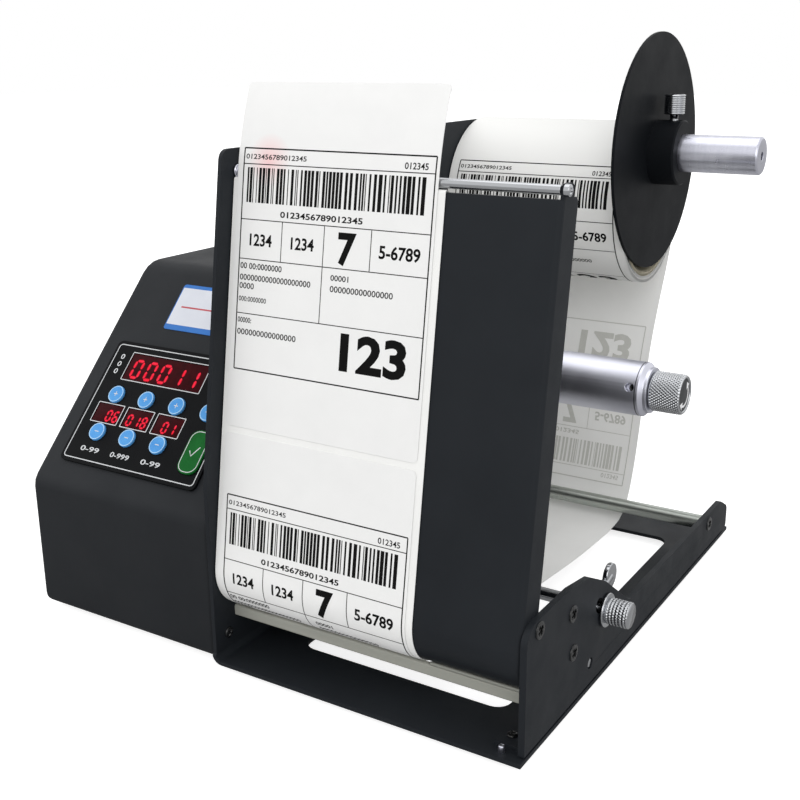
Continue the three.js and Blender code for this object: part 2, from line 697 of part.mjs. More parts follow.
// Label roll on its paper core
{
  const tube = (r0, r1, x0, x1) => turnedX([[r0, x0], [r1, x0], [r1, x1], [r0, x1], [r0, x0]],
    ROLL_Y, ROLL_Z, 60);
  const x0 = LINER_X0;
  const x1 = LINER_X0 + LINER_W;
  add('roll_core', tube(CORE_BORE_R, CORE_BORE_R + CORE_T, x0, x1), 'card');
  add('label_roll', tube(CORE_BORE_R + CORE_T + GAP, ROLL_R, x0, x1), 'paper');
}

// Web path in the Y-Z plane, from the roll to the take-up spindle
function webPath() {
  const points = [];
  const out = ROLL_R + GAP;
  points.push([ROLL_Y + out * Math.cos(ROLL_LEAVE), ROLL_Z + out * Math.sin(ROLL_LEAVE)]);
  const low = -Math.PI / 2 + LOWER_LEAVE;
  const lowPoint = [TOWER_CY + PATH_R * Math.cos(low), TOWER_CZ + PATH_R * Math.sin(low)];
  const loose = [points[0], ...REAR_WEB, lowPoint].map(([y, z]) => new THREE.Vector3(y, z, 0));
  const curve = new THREE.CatmullRomCurve3(loose, false, 'centripetal');
  const count = Math.round(curve.getLength() / WEB_STEP);
  const rear = curve.getSpacedPoints(count).slice(1, -1).map((p) => [p.x, p.y]);
  points.push(...rear);
  points.push(...arc(TOWER_CY, TOWER_CZ, PATH_R, low, -Math.PI - LEAN, 16));
  const peelOut = PEEL_R + GAP;
  const coilOut = COIL_R + GAP;
  const dy = SPINDLE_Y - PEEL_Y;
  const dz = SPINDLE_Z - PEEL_Z;
  const reach = Math.hypot(dy, dz);
  const leave = Math.atan2(dz, dy) + Math.acos((peelOut - coilOut) / reach);
  const foot = [PEEL_Y + LEAN_N[0] * peelOut, PEEL_Z + LEAN_N[1] * peelOut];
  const last = points[points.length - 1];
  const span = Math.hypot(foot[0] - last[0], foot[1] - last[1]);
  const steps = Math.round(span / (2 * WEB_STEP));
  for (let k = 1; k < steps; k += 1) {
    points.push([last[0] + ((foot[0] - last[0]) * k) / steps, last[1] + ((foot[1] - last[1]) * k) / steps]);
  }
  points.push(...arc(PEEL_Y, PEEL_Z, peelOut, Math.PI - LEAN, leave, 10));
  points.push([SPINDLE_Y + coilOut * Math.cos(leave), SPINDLE_Z + coilOut * Math.sin(leave)]);
  return points;
}

function measured(points) {
  let total = 0;
  return points.map((p, i) => {
    if (i) total += Math.hypot(p[0] - points[i - 1][0], p[1] - points[i - 1][1]);
    return { y: p[0], z: p[1], s: total };
  });
}

function stretch(track, s0, s1) {
  const at = (s) => {
    let i = 1;
    while (i < track.length - 1 && track[i].s < s) i += 1;
    const a = track[i - 1];
    const b = track[i];
    const t = (s - a.s) / (b.s - a.s);
    return { y: a.y + (b.y - a.y) * t, z: a.z + (b.z - a.z) * t, s };
  };
  const inner = track.filter((p) => p.s > s0 + LABEL_R && p.s < s1 - LABEL_R);
  return { at, inner };
}

function normals(track) {
  return track.map((p, i) => {
    const a = track[Math.max(0, i - 1)];
    const b = track[Math.min(track.length - 1, i + 1)];
    const d = new THREE.Vector2(b.y - a.y, b.z - a.z).normalize();
    return { ...p, ny: -d.y, nz: d.x };
  });
}

// Closed strip between two offsets of a track; inset gives the side margin at each station
function strip(track, low, high, x0, x1, inset = () => 0) {
  const position = [];
  const index = [];
  track.forEach((p, i) => {
    const m = inset(p.s);
    [[x0 + m, low], [x1 - m, low], [x1 - m, high], [x0 + m, high]].forEach(([x, h]) => {
      position.push(x, p.y + p.ny * h, p.z + p.nz * h);
    });
    if (!i) return;
    const a = 4 * (i - 1);
    const b = 4 * i;
    for (let k = 0; k < 4; k += 1) {
      const n = (k + 1) % 4;
      index.push(a + k, b + k, b + n, a + k, b + n, a + n);
    }
  });
  const e = 4 * (track.length - 1);
  index.push(0, 1, 2, 0, 2, 3, e, e + 2, e + 1, e, e + 3, e + 2);
  const geometry = new THREE.BufferGeometry();
  geometry.setAttribute('position', new THREE.Float32BufferAttribute(position, 3));
  geometry.setIndex(index);
  const flat = geometry.toNonIndexed();
  flat.computeVertexNormals();
  return flat;
}

function label(track, s0, s1, roundStart, roundEnd) {
  const { at, inner } = stretch(track, s0, s1);
  const ease = [0, 0.08, 0.3, 0.62, 1].map((t) => t * LABEL_R);
  const stations = [...ease.map((d) => at(s0 + d)), ...inner, ...ease.map((d) => at(s1 - d)).reverse()];
  const cornerInset = (d) => (d >= LABEL_R ? 0 : LABEL_R - Math.sqrt(LABEL_R ** 2 - (LABEL_R - d) ** 2));
  const inset = (s) => Math.max(roundStart ? cornerInset(s - s0) : 0, roundEnd ? cornerInset(s1 - s) : 0);
  const low = LINER_T + PAPER_GAP;
  return strip(normals(stations), low, low + LABEL_T, LABEL_X0, LABEL_X0 + LABEL_W, inset);
}

{
  const track = measured(webPath());
  add('liner_web', strip(normals(track), 0, LINER_T, LINER_X0, LINER_X0 + LINER_W), 'liner');
  let start = track.length - 1;
  while (track[start].z < LABEL_START_Z || track[start].y > PEEL_Y) start -= 1;
  while (track[start].z > LABEL_START_Z) start -= 1;
  const s0 = track[start].s + (LABEL_START_Z - track[start].z) / LEAN_T[1];
  const pitch = LABEL_L + LABEL_PITCH_GAP;
  add('label_2', label(track, s0 - LABEL_L, s0, true, true), 'paper');
  add('label_3', label(track, s0 - pitch - LABEL_L, s0 - pitch, true, true), 'paper');
  const rest = s0 - 2 * pitch;
  add('label_4', label(track, Math.max(rest - LABEL_L, WEB_STEP), rest, true, true), 'paper');
  // The peeling label follows the face, then stands free above the rod and leans back a little
  const bottom = s0 + LABEL_PITCH_GAP;
  const base = { y: track[start].y, z: track[start].z, s: track[start].s };
  const free = (PEEL_Z - base.z) / LEAN_T[1];
  const path = [];
  const count = 24;
  for (let k = 0; k <= count; k += 1) {
    const s = ((bottom + LABEL_L - base.s) * k) / count;
    const over = Math.max(0, s - free) / (bottom + LABEL_L - base.s - free);
    path.push([base.y + LEAN_T[0] * s + PEEL_SET_BACK * over ** 2, base.z + LEAN_T[1] * s]);
  }
  const tall = measured(path).map((p) => ({ ...p, s: p.s + base.s }));
  add('label_1', label(tall, bottom, bottom + LABEL_L, true, true), 'paper');
}

// Take-up spindle, liner coil and knob
{
  const end = SPINDLE_END;
  const body = turnedX([
    [0, STUB_END], [STUB_R, STUB_END], [STUB_R, SPINDLE_X0], [SPINDLE_R, SPINDLE_X0],
    [SPINDLE_R, end - SPINDLE_CHAMFER], [SPINDLE_NECK_R, end], [SPINDLE_NECK_R, end + SPINDLE_NECK_L],
    [0, end + SPINDLE_NECK_L],
  ], SPINDLE_Y, SPINDLE_Z, 48);
  const hole = turned([
    [0, SPINDLE_R - SPINDLE_HOLE_DEPTH], [SPINDLE_HOLE_R, SPINDLE_R - SPINDLE_HOLE_DEPTH],
    [SPINDLE_HOLE_R, SPINDLE_R + SPINDLE_HOLE_DEPTH], [0, SPINDLE_R + SPINDLE_HOLE_DEPTH],
  ], 16).rotateX(Math.PI).rotateX(SPINDLE_HOLE_DIP * -1).translate(SPINDLE_HOLE_X, SPINDLE_Y, SPINDLE_Z);
  add('takeup_spindle', faceted(cut(body, hole)), 'alloy');
  const x1 = LINER_X0 + LINER_W;
  const r0 = SPINDLE_R + GAP;
  const lead = SPINDLE_X0 + GAP;
  add('liner_coil', turnedX([[r0, lead], [COIL_R, lead], [COIL_R, x1], [r0, x1], [r0, lead]],
    SPINDLE_Y, SPINDLE_Z, 48), 'liner');
  const k0 = end + SPINDLE_NECK_L + GAP;
  const grip = extrudeX(ring(knurled(TAKE_KNOB_R, KNURL_DEPTH, TAKE_KNURL_TEETH)), k0, k0 + TAKE_KNOB_L,
    TAKE_KNOB_EDGE, 2).translate(0, SPINDLE_Y, SPINDLE_Z);
  const recess = turnedX([
    [0, k0 + TAKE_KNOB_L - TAKE_RECESS_L], [TAKE_RECESS_R, k0 + TAKE_KNOB_L - TAKE_RECESS_L],
    [TAKE_RECESS_R, k0 + TAKE_KNOB_L + TAKE_RECESS_L], [0, k0 + TAKE_KNOB_L + TAKE_RECESS_L],
  ], SPINDLE_Y, SPINDLE_Z);
  add('takeup_knob', faceted(cut(grip, recess)), 'steel');
}

// Drive train inside the housing
{
  const bore = STUB_R + BORE_FIT;
  const back = -SHEET_T - BEARING_FLANGE_T;
  add('spindle_bearing', turnedX([
    [bore, back], [BEARING_FLANGE_R, back], [BEARING_FLANGE_R, -SHEET_T], [BEARING_R, -SHEET_T], [BEARING_R, 0],
    [bore, 0], [bore, back],
  ], SPINDLE_Y, SPINDLE_Z), 'plastic');
  const pulley = (r, hole, y, z) => {
    const x0 = PULLEY_X;
    const x1 = PULLEY_X + PULLEY_W;
    const rim = r + PULLEY_RIM;
    return turnedX([
      [hole, x0 - PULLEY_RIM_T], [rim, x0 - PULLEY_RIM_T], [rim, x0], [r, x0], [r, x1], [rim, x1],
      [rim, x1 + PULLEY_RIM_T], [hole, x1 + PULLEY_RIM_T], [hole, x0 - PULLEY_RIM_T],
    ], y, z);
  };
  add('takeup_pulley', pulley(PULLEY_R, STUB_R + GAP, SPINDLE_Y, SPINDLE_Z), 'plastic');
  const shaftEnd = MOUNT_X + GAP;
  const x0 = PULLEY_X - PULLEY_RIM_T;
  const x1 = PULLEY_X + PULLEY_W + PULLEY_RIM_T;
  const rim = PINION_R + PULLEY_RIM;
  add('motor_pulley', turnedX([
    [0, shaftEnd], [MOTOR_SHAFT_R, shaftEnd], [MOTOR_SHAFT_R, x0], [rim, x0], [rim, PULLEY_X],
    [PINION_R, PULLEY_X], [PINION_R, PULLEY_X + PULLEY_W], [rim, PULLEY_X + PULLEY_W], [rim, x1], [0, x1],
  ], MOTOR_Y, MOTOR_Z), 'alloy');
  const loop = (extra) => {
    const r1 = PULLEY_R + GAP + extra;
    const r2 = PINION_R + GAP + extra;
    const dy = MOTOR_Y - SPINDLE_Y;
    const dz = MOTOR_Z - SPINDLE_Z;
    const heading = Math.atan2(dz, dy);
    const lean = Math.acos((r1 - r2) / Math.hypot(dy, dz));
    return [
      ...arc(SPINDLE_Y, SPINDLE_Z, r1, heading + lean, heading - lean + 2 * Math.PI, 28),
      ...arc(MOTOR_Y, MOTOR_Z, r2, heading - lean, heading + lean, 18),
    ].map(([y, z]) => new THREE.Vector2(y, z));
  };
  add('drive_belt', extrudeX(ring(loop(BELT_T), [loop(0)]), PULLEY_X + GAP, PULLEY_X + PULLEY_W - GAP), 'rubber');
  const rear = MOUNT_X - MOTOR_L;
  add('drive_motor', turnedX([
    [0, rear - MOTOR_CAP_L], [MOTOR_CAP_R, rear - MOTOR_CAP_L], [MOTOR_CAP_R, rear],
    [MOTOR_R - MOTOR_EDGE, rear], [MOTOR_R, rear + MOTOR_EDGE], [MOTOR_R, MOUNT_X - MOTOR_EDGE],
    [MOTOR_R - MOTOR_EDGE, MOUNT_X], [0, MOUNT_X],
  ], MOTOR_Y, MOTOR_Z), 'motor');
  const legTop = MOUNT_LEG_Z + MOUNT_T;
  const plateX = -SHEET_T;
  const section = filleted([
    [plateX, MOUNT_FOOT_Z, 0], [plateX, legTop, MOUNT_T], [MOUNT_X + MOUNT_T, legTop, 0],
    [MOUNT_X + MOUNT_T, MOUNT_TOP, 0], [MOUNT_X, MOUNT_TOP, 0], [MOUNT_X, MOUNT_LEG_Z, MOUNT_T],
    [plateX - MOUNT_T, MOUNT_LEG_Z, 0], [plateX - MOUNT_T, MOUNT_FOOT_Z, 0],
  ]);
  const mount = cut(extrudeY(ring(section), MOUNT_Y0, MOUNT_Y1),
    extrudeX(ring(circle(MOTOR_Y, MOTOR_Z, MOUNT_HOLE_R)), MOUNT_X - MOUNT_T, MOUNT_X + 2 * MOUNT_T));
  add('motor_mount', faceted(mount), 'plate');
}

// Housing cover, open towards the left plate
const INLET_PASS = INLET_W + 2 * GAP;
{
  const outline = (inset, r) => {
    const k = inset / Math.cos(SLOPE);
    const front = HOUSE_FRONT + inset;
    const top = HOUSE_TOP - inset;
    const slopeZ = (y) => HOUSE_RIDGE - k + (y - HOUSE_FRONT) * Math.tan(SLOPE);
    const topY = HOUSE_FRONT + (top - HOUSE_RIDGE + k) / Math.tan(SLOPE);
    const bottom = FOOT_H + inset;
    const rear = HOUSE_REAR - inset;
    return filleted([
      [front, bottom, r(HOUSE_LOW_R)], [rear, bottom, r(HOUSE_LOW_R)], [rear, top, r(HOUSE_REAR_R)],
      [topY, top, r(HOUSE_TOP_R)], [front, slopeZ(front), r(HOUSE_RIDGE_R)],
    ]);
  };
  const skin = extrudeX(ring(outline(0, (r) => r + HOUSE_EDGE)), HOUSE_LEFT, -SHEET_T, HOUSE_EDGE, 4);
  const hollow = extrudeX(ring(outline(HOUSE_T, (r) => r)), HOUSE_LEFT + HOUSE_T, SHEET_T);
  const pass = box(INLET_X - INLET_PASS / 2, HOUSE_REAR - HOUSE_REAR_R, INLET_Z - INLET_H / 2 - GAP,
    INLET_X + INLET_PASS / 2, HOUSE_REAR + HOUSE_REAR_R, INLET_Z + INLET_H / 2 + GAP);
  add('housing_cover', faceted(cut(skin, hollow, pass)), 'housing');
}

// Things on the slope, built flat and then laid on it
const slopeMatrix = new THREE.Matrix4().makeBasis(
  new THREE.Vector3(1, 0, 0),
  new THREE.Vector3(0, Math.cos(SLOPE), Math.sin(SLOPE)),
  new THREE.Vector3(0, -Math.sin(SLOPE), Math.cos(SLOPE)),
).setPosition(0, SLOPE_Y, SLOPE_Z);
const onSlope = (geometry) => geometry.applyMatrix4(slopeMatrix);
const smallU = (i) => KEY_U + KEY_PITCH * i - SMALL_W / 2;
const keys = [];
for (let i = 0; i < 4; i += 1) keys.push([`key_plus_${i + 1}`, KEY_U + KEY_PITCH * i, KEY_PLUS_V]);
for (let i = 0; i < 3; i += 1) keys.push([`key_minus_${i + 1}`, KEY_U + KEY_PITCH * i, KEY_MINUS_V]);
const confirmOutline = (grow) => rectangle(CONFIRM_U - CONFIRM_W / 2 - grow, CONFIRM_V - CONFIRM_L / 2 - grow,
  CONFIRM_U + CONFIRM_W / 2 + grow, CONFIRM_V + CONFIRM_L / 2 + grow, CONFIRM_R + grow);
{
  const windowAt = (u, v, w, h, grow) => rectangle(u - grow, v - grow, u + w + grow, v + h + grow, grow);
  const holes = keys.map(([, u, v]) => circle(u, v, KEY_R + GAP, 24));
  holes.push(confirmOutline(GAP));
  holes.push(windowAt(MAIN_U0, MAIN_V0, MAIN_W, MAIN_H, GAP));
  for (let i = 0; i < 3; i += 1) holes.push(windowAt(smallU(i), SMALL_V0, SMALL_W, SMALL_H, GAP));
  add('control_panel', onSlope(extrudeZ(ring(rectangle(PANEL_LEFT, PANEL_LOW, PANEL_LEFT + PANEL_W, PANEL_LOW + PANEL_L, PANEL_R), holes),
    PANEL_GAP, PANEL_H)), 'film');
  const display = (name, u, v, w, h) => add(name,
    onSlope(extrudeZ(ring(rectangle(u, v, u + w, v + h)), PANEL_GAP, DISPLAY_H)), 'display');
  display('display_main', MAIN_U0, MAIN_V0, MAIN_W, MAIN_H);
  for (let i = 0; i < 3; i += 1) display(`display_${i + 1}`, smallU(i), SMALL_V0, SMALL_W, SMALL_H);
  keys.forEach(([name, u, v]) => {
    const cap = turned([[0, KEY_LOW], [KEY_R, KEY_LOW], [KEY_R, KEY_TOP - KEY_EDGE],
      [KEY_R - KEY_EDGE, KEY_TOP], [0, KEY_TOP]], 24).rotateX(Math.PI / 2).translate(u, v, 0);
    add(name, onSlope(cap), 'key');
  });
  add('key_confirm', onSlope(extrudeZ(ring(confirmOutline(0)), KEY_LOW, KEY_TOP, KEY_EDGE)), 'confirm');
}

// Control board under the slope
{
  const u0 = PANEL_LEFT + BOARD_IN;
  const u1 = PANEL_LEFT + PANEL_W - BOARD_IN;
  const v0 = PANEL_LOW + BOARD_IN;
  const v1 = PANEL_LOW + PANEL_L - BOARD_IN;
  const board = extrudeZ(ring(rectangle(u0, v0, u1, v1, BOARD_IN / 2)), -BOARD_DEPTH, BOARD_T - BOARD_DEPTH);
  const posts = [[u0, v0, 1, 1], [u1, v0, -1, 1], [u1, v1, -1, -1], [u0, v1, 1, -1]].map(([u, v, a, b]) => {
    const cx = u + a * BOARD_IN;
    const cy = v + b * BOARD_IN;
    return extrudeZ(ring(circle(cx, cy, BOARD_POST_R, 16)), -BOARD_DEPTH, -HOUSE_T - PANEL_GAP);
  });
  add('control_board', onSlope(faceted(join(board, ...posts))), 'board');
}

// Power inlet and rocker switch
{
  const y0 = HOUSE_REAR - INLET_DEPTH;
  const y1 = HOUSE_REAR + INLET_FLANGE_T;
  const zc = INLET_Z;
  const body = box(INLET_X - INLET_W / 2, y0, zc - INLET_H / 2, INLET_X + INLET_W / 2, HOUSE_REAR, zc + INLET_H / 2);
  const plate = extrudeY(ring(rectangle(INLET_X - INLET_W / 2 - INLET_FLANGE, zc - INLET_H / 2 - INLET_FLANGE,
    INLET_X + INLET_W / 2 + INLET_FLANGE, zc + INLET_H / 2 + INLET_FLANGE, INLET_FLANGE)), HOUSE_REAR, y1);
  const socketZ = zc - SOCKET_DROP;
  const socket = extrudeY(ring(filleted([
    [INLET_X - SOCKET_W / 2, socketZ - SOCKET_H / 2, 0], [INLET_X + SOCKET_W / 2, socketZ - SOCKET_H / 2, 0],
    [INLET_X + SOCKET_W / 2, socketZ, 0], [INLET_X + SOCKET_W / 4, socketZ + SOCKET_H / 2, 0],
    [INLET_X - SOCKET_W / 4, socketZ + SOCKET_H / 2, 0], [INLET_X - SOCKET_W / 2, socketZ, 0],
  ])), y1 - SOCKET_DEPTH, y1 + SOCKET_DEPTH);
  const rockZ = zc + ROCKER_RISE;
  const rockY = y1 - ROCKER_PIVOT;
  const well = extrudeX(ring(circle(rockY, rockZ, ROCKER_R + GAP, 40)), INLET_X - ROCKER_W / 2 - GAP,
    INLET_X + ROCKER_W / 2 + GAP);
  const shell = cut(join(body, plate), socket, well);
  const pins = [-1, 0, 1].map((k) => box(INLET_X + k * PIN_PITCH - PIN_W / 2, y1 - SOCKET_DEPTH - PIN_W,
    socketZ - PIN_H / 2, INLET_X + k * PIN_PITCH + PIN_W / 2, y1 - SOCKET_DEPTH + PIN_L, socketZ + PIN_H / 2));
  add('power_inlet', faceted(join(shell, ...pins)), 'plastic');
  const back = Math.sqrt(ROCKER_R ** 2 - ROCKER_BACK ** 2);
  const inner = Math.atan2(back, -ROCKER_BACK);
  const outline = [
    ...arc(0, 0, ROCKER_R, ROCKER_SPREAD, inner, 5), ...arc(0, 0, ROCKER_R, -inner, -ROCKER_SPREAD, 5),
    [ROCKER_MIDDLE, 0],
  ].map(([y, z]) => new THREE.Vector2(y, z));
  const rocker = extrudeX(ring(outline), INLET_X - ROCKER_W / 2, INLET_X + ROCKER_W / 2, GAP, 1);
  add('power_switch', rocker.rotateX(-ROCKER_TILT).translate(0, rockY, rockZ), 'plastic');
}

// Peel sensor behind the standing label
{
  const x1 = SENSOR_X + SENSOR_W;
  const y1 = SENSOR_Y + SENSOR_D;
  const z1 = SENSOR_Z + SENSOR_H;
  const body = box(SENSOR_X, SENSOR_Y, SENSOR_Z, x1, y1, z1);
  const lens = turned([[0, 0], [SENSOR_LENS_R, 0], [SENSOR_LENS_R, SENSOR_LENS_L * 2], [0, SENSOR_LENS_L * 2]], 20)
    .translate(SENSOR_X + SENSOR_W / 2, SENSOR_Y - SENSOR_LENS_L, SENSOR_Z + SENSOR_H / 2);
  add('peel_sensor', faceted(join(body, lens)), 'plastic');
  const section = filleted([
    [0, SENSOR_Z - BRACKET_TAB, 0], [BRACKET_T, SENSOR_Z - BRACKET_TAB, 0],
    [BRACKET_T, SENSOR_Z - BRACKET_T, 0], [x1, SENSOR_Z - BRACKET_T, 0], [x1, SENSOR_Z, 0], [0, SENSOR_Z, BRACKET_T],
  ]);
  add('sensor_bracket', extrudeY(ring(section), SENSOR_Y, y1), 'plate');
}

// Rubber feet
{
  const left = HOUSE_LEFT + FOOT_IN;
  const right = BASE_W - FOOT_IN;
  const places = [
    [left, HOUSE_FRONT + FOOT_IN], [left, HOUSE_REAR - FOOT_IN], [FOOT_IN, FOOT_IN],
    [FOOT_IN, BASE_D - FOOT_IN], [right, FOOT_IN], [right, BASE_D - FOOT_IN],
  ];
  places.forEach(([x, y], i) => {
    add(`foot_${i + 1}`, turnedZ([[0, 0], [FOOT_R1, 0], [FOOT_R0, FOOT_H / 3], [FOOT_R0, FOOT_H], [0, FOOT_H]],
      x, y, 24), 'rubber');
  });
}

// Origin at the middle of the footprint, on the floor
const bounds = new THREE.Box3().setFromObject(parts);
const middle = bounds.getCenter(new THREE.Vector3());
parts.children.forEach((mesh) => mesh.geometry.translate(-middle.x, -middle.y, -bounds.min.z));

export default parts;
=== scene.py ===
"""Looks of the label dispenser: materials, print, displays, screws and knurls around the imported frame.
Named sizes are in millimetres of the machine's own layout; at() turns them into the frame's metres."""

import math
import random

import bmesh
import bpy
from mathutils import Matrix, Vector


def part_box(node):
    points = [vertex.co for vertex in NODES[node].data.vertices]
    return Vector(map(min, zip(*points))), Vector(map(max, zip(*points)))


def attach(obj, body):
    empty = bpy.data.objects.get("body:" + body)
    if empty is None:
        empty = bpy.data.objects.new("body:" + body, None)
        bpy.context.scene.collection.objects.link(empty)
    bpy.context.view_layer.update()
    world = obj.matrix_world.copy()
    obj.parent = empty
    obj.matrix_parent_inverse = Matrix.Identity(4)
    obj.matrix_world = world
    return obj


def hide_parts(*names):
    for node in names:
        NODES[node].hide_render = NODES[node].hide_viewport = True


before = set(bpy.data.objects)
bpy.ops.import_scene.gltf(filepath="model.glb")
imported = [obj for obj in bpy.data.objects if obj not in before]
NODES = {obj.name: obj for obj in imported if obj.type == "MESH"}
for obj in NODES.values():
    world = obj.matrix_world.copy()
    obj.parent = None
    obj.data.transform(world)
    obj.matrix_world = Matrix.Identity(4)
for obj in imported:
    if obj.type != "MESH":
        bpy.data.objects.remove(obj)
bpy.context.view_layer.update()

# Places shared with the solids
FRAME_LOW = (-2.0, 0.0, 3.0)
LEAN = math.radians(8.9)
ROUND_Y, ROUND_Z = 24.6, 48.5
TOWER_ROUND = 21.2
CLEARANCE = 0.3
LINER_T = 0.25
PAPER_GAP = 0.05
LABEL_T = 0.2
LABEL_FACE = TOWER_ROUND + CLEARANCE + LINER_T + PAPER_GAP + LABEL_T
LABEL_TOP_Z = 114.9
LABEL_X0 = 2.8
LABEL_L = 150.0
LABEL_GAP = 2.9
PEEL_BACK = 5.2
SLOPE = math.radians(46.33)
SLOPE_Y, SLOPE_Z = 2.4, 71.6

# How far a mark lies off its surface
INK_LIFT = 0.03
PER_METRE = 1000
ORIGIN = Vector(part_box("frame")[0]) * PER_METRE - Vector(FRAME_LOW)


def at(x, y, z):
    """A point of the machine's layout in millimetres, as a point of the frame in metres."""
    return (Vector((x, y, z)) + ORIGIN) / PER_METRE


def on_slope(u, v, h):
    """A point on the housing's slope: u along X, v up the slope, h out of it."""
    y = SLOPE_Y + v * math.cos(SLOPE) - h * math.sin(SLOPE)
    z = SLOPE_Z + v * math.sin(SLOPE) + h * math.cos(SLOPE)
    return at(u, y, z)


class Place:
    """Where a node lies in the machine's layout: its box's corners and its middle, in millimetres."""

    def __init__(self, node):
        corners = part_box(node)
        self.low = Vector(corners[0]) * PER_METRE - ORIGIN
        self.high = Vector(corners[1]) * PER_METRE - ORIGIN
        self.middle = (self.low + self.high) / 2
        self.radius = (self.high.z - self.low.z) / 2


PEEL = Place("peel_rod")
ROLL = Place("label_roll")
SPINDLE = Place("takeup_spindle")
TAKE_KNOB = Place("takeup_knob")
EDGE_KNOB = Place("edge_knob")
FLANGE_SCREW = Place("flange_screw")
WALL_OUT = Place("side_wall").high.x
PEEL_Y, PEEL_Z = PEEL.middle.y, PEEL.middle.z
ROLL_Y, ROLL_Z, ROLL_R = ROLL.middle.y, ROLL.middle.z, ROLL.radius


# Materials
def linear(value):
    return tuple(c / 12.92 if c <= 0.04045 else ((c + 0.055) / 1.055) ** 2.4 for c in value)


def hexa(code):
    return linear(tuple(int(code[i : i + 2], 16) / 255 for i in (0, 2, 4)))


class Graph:
    """A node tree with short ways to add its nodes and to link them."""

    def __init__(self, tree):
        self.tree = tree

    def add(self, kind, **values):
        node = self.tree.nodes.new(kind)
        for key, value in values.items():
            setattr(node, key, value)
        return node

    def link(self, a, b):
        self.tree.links.new(a, b)

    def math(self, operation, *values):
        node = self.add("ShaderNodeMath", operation=operation)
        for socket, value in zip(node.inputs, values):
            if isinstance(value, (int, float)):
                socket.default_value = value
            else:
                self.link(value, socket)
        return node.outputs[0]

    def spread(self, source, low, high, start=0.3, end=0.7):
        """The stretch from start to end, mapped onto low to high."""
        node = self.add("ShaderNodeMapRange")
        node.inputs["From Min"].default_value = start
        node.inputs["From Max"].default_value = end
        node.inputs["To Min"].default_value = low
        node.inputs["To Max"].default_value = high
        self.link(source, node.inputs["Value"])
        return node.outputs["Result"]


class Look(Graph):
    """A principled material with its colour, roughness and bump made from noise in object space."""

    def __init__(self, name):
        self.material = bpy.data.materials.new(name)
        self.material.use_nodes = True
        super().__init__(self.material.node_tree)
        self.shader = self.tree.nodes["Principled BSDF"]
        self.vector = self.add("ShaderNodeTexCoord").outputs["Object"]

    def noise(self, scale, detail=4.0, stretch=None):
        node = self.add("ShaderNodeTexNoise")
        node.inputs["Scale"].default_value = scale
        node.inputs["Detail"].default_value = detail
        node.inputs["Roughness"].default_value = 0.55
        source = self.vector
        if stretch:
            mapping = self.add("ShaderNodeMapping")
            mapping.inputs["Scale"].default_value = stretch
            self.link(source, mapping.inputs["Vector"])
            source = mapping.outputs["Vector"]
        self.link(source, node.inputs["Vector"])
        return node.outputs["Fac"]

    def mix(self, fac, a, b):
        node = self.add("ShaderNodeMix", data_type="RGBA")
        self.link(fac, node.inputs["Factor"])
        for socket, value in ((node.inputs[6], a), (node.inputs[7], b)):
            if isinstance(value, tuple):
                socket.default_value = (*value, 1)
            else:
                self.link(value, socket)
        return node.outputs[2]

    def axis(self, index):
        node = self.add("ShaderNodeSeparateXYZ")
        self.link(self.vector, node.inputs[0])
        return node.outputs[index]

    def colour(self, source):
        self.link(source, self.shader.inputs["Base Color"])

    def rough(self, scale, low, high, stretch=None):
        """Roughness that wanders between two values."""
        source = self.spread(self.noise(scale, stretch=stretch), low, high)
        self.link(source, self.shader.inputs["Roughness"])

    def bump(self, height, strength, depth):
        """Relief from a height between 0 and 1; depth is in millimetres."""
        node = self.add("ShaderNodeBump")
        node.inputs["Strength"].default_value = strength
        node.inputs["Distance"].default_value = depth / PER_METRE
        self.link(height, node.inputs["Height"])
        self.link(node.outputs["Normal"], self.shader.inputs["Normal"])

    def metal(self, value):
        self.shader.inputs["Metallic"].default_value = value

    def specular(self, value):
        self.shader.inputs["Specular IOR Level"].default_value = value


GRAIN_DEPTH = 0.08
FINE_DEPTH = 0.04
RING_DEPTH = 0.05
ROUGH_FINER = 3


def plain(name, dark, pale, rough_low, rough_high, scale, bump, grain, metal=0.0, specular=0.5, stretch=None):
    """A material that wanders between two colours, with a fine grain."""
    look = Look(name)
    wide = look.noise(scale, stretch=stretch)
    look.colour(look.mix(look.spread(wide, 0, 1), hexa(dark), hexa(pale)))
    look.rough(scale * ROUGH_FINER, rough_low, rough_high, stretch)
    look.bump(look.noise(grain, detail=2.0, stretch=stretch), bump, GRAIN_DEPTH)
    look.metal(metal)
    look.specular(specular)
    return look


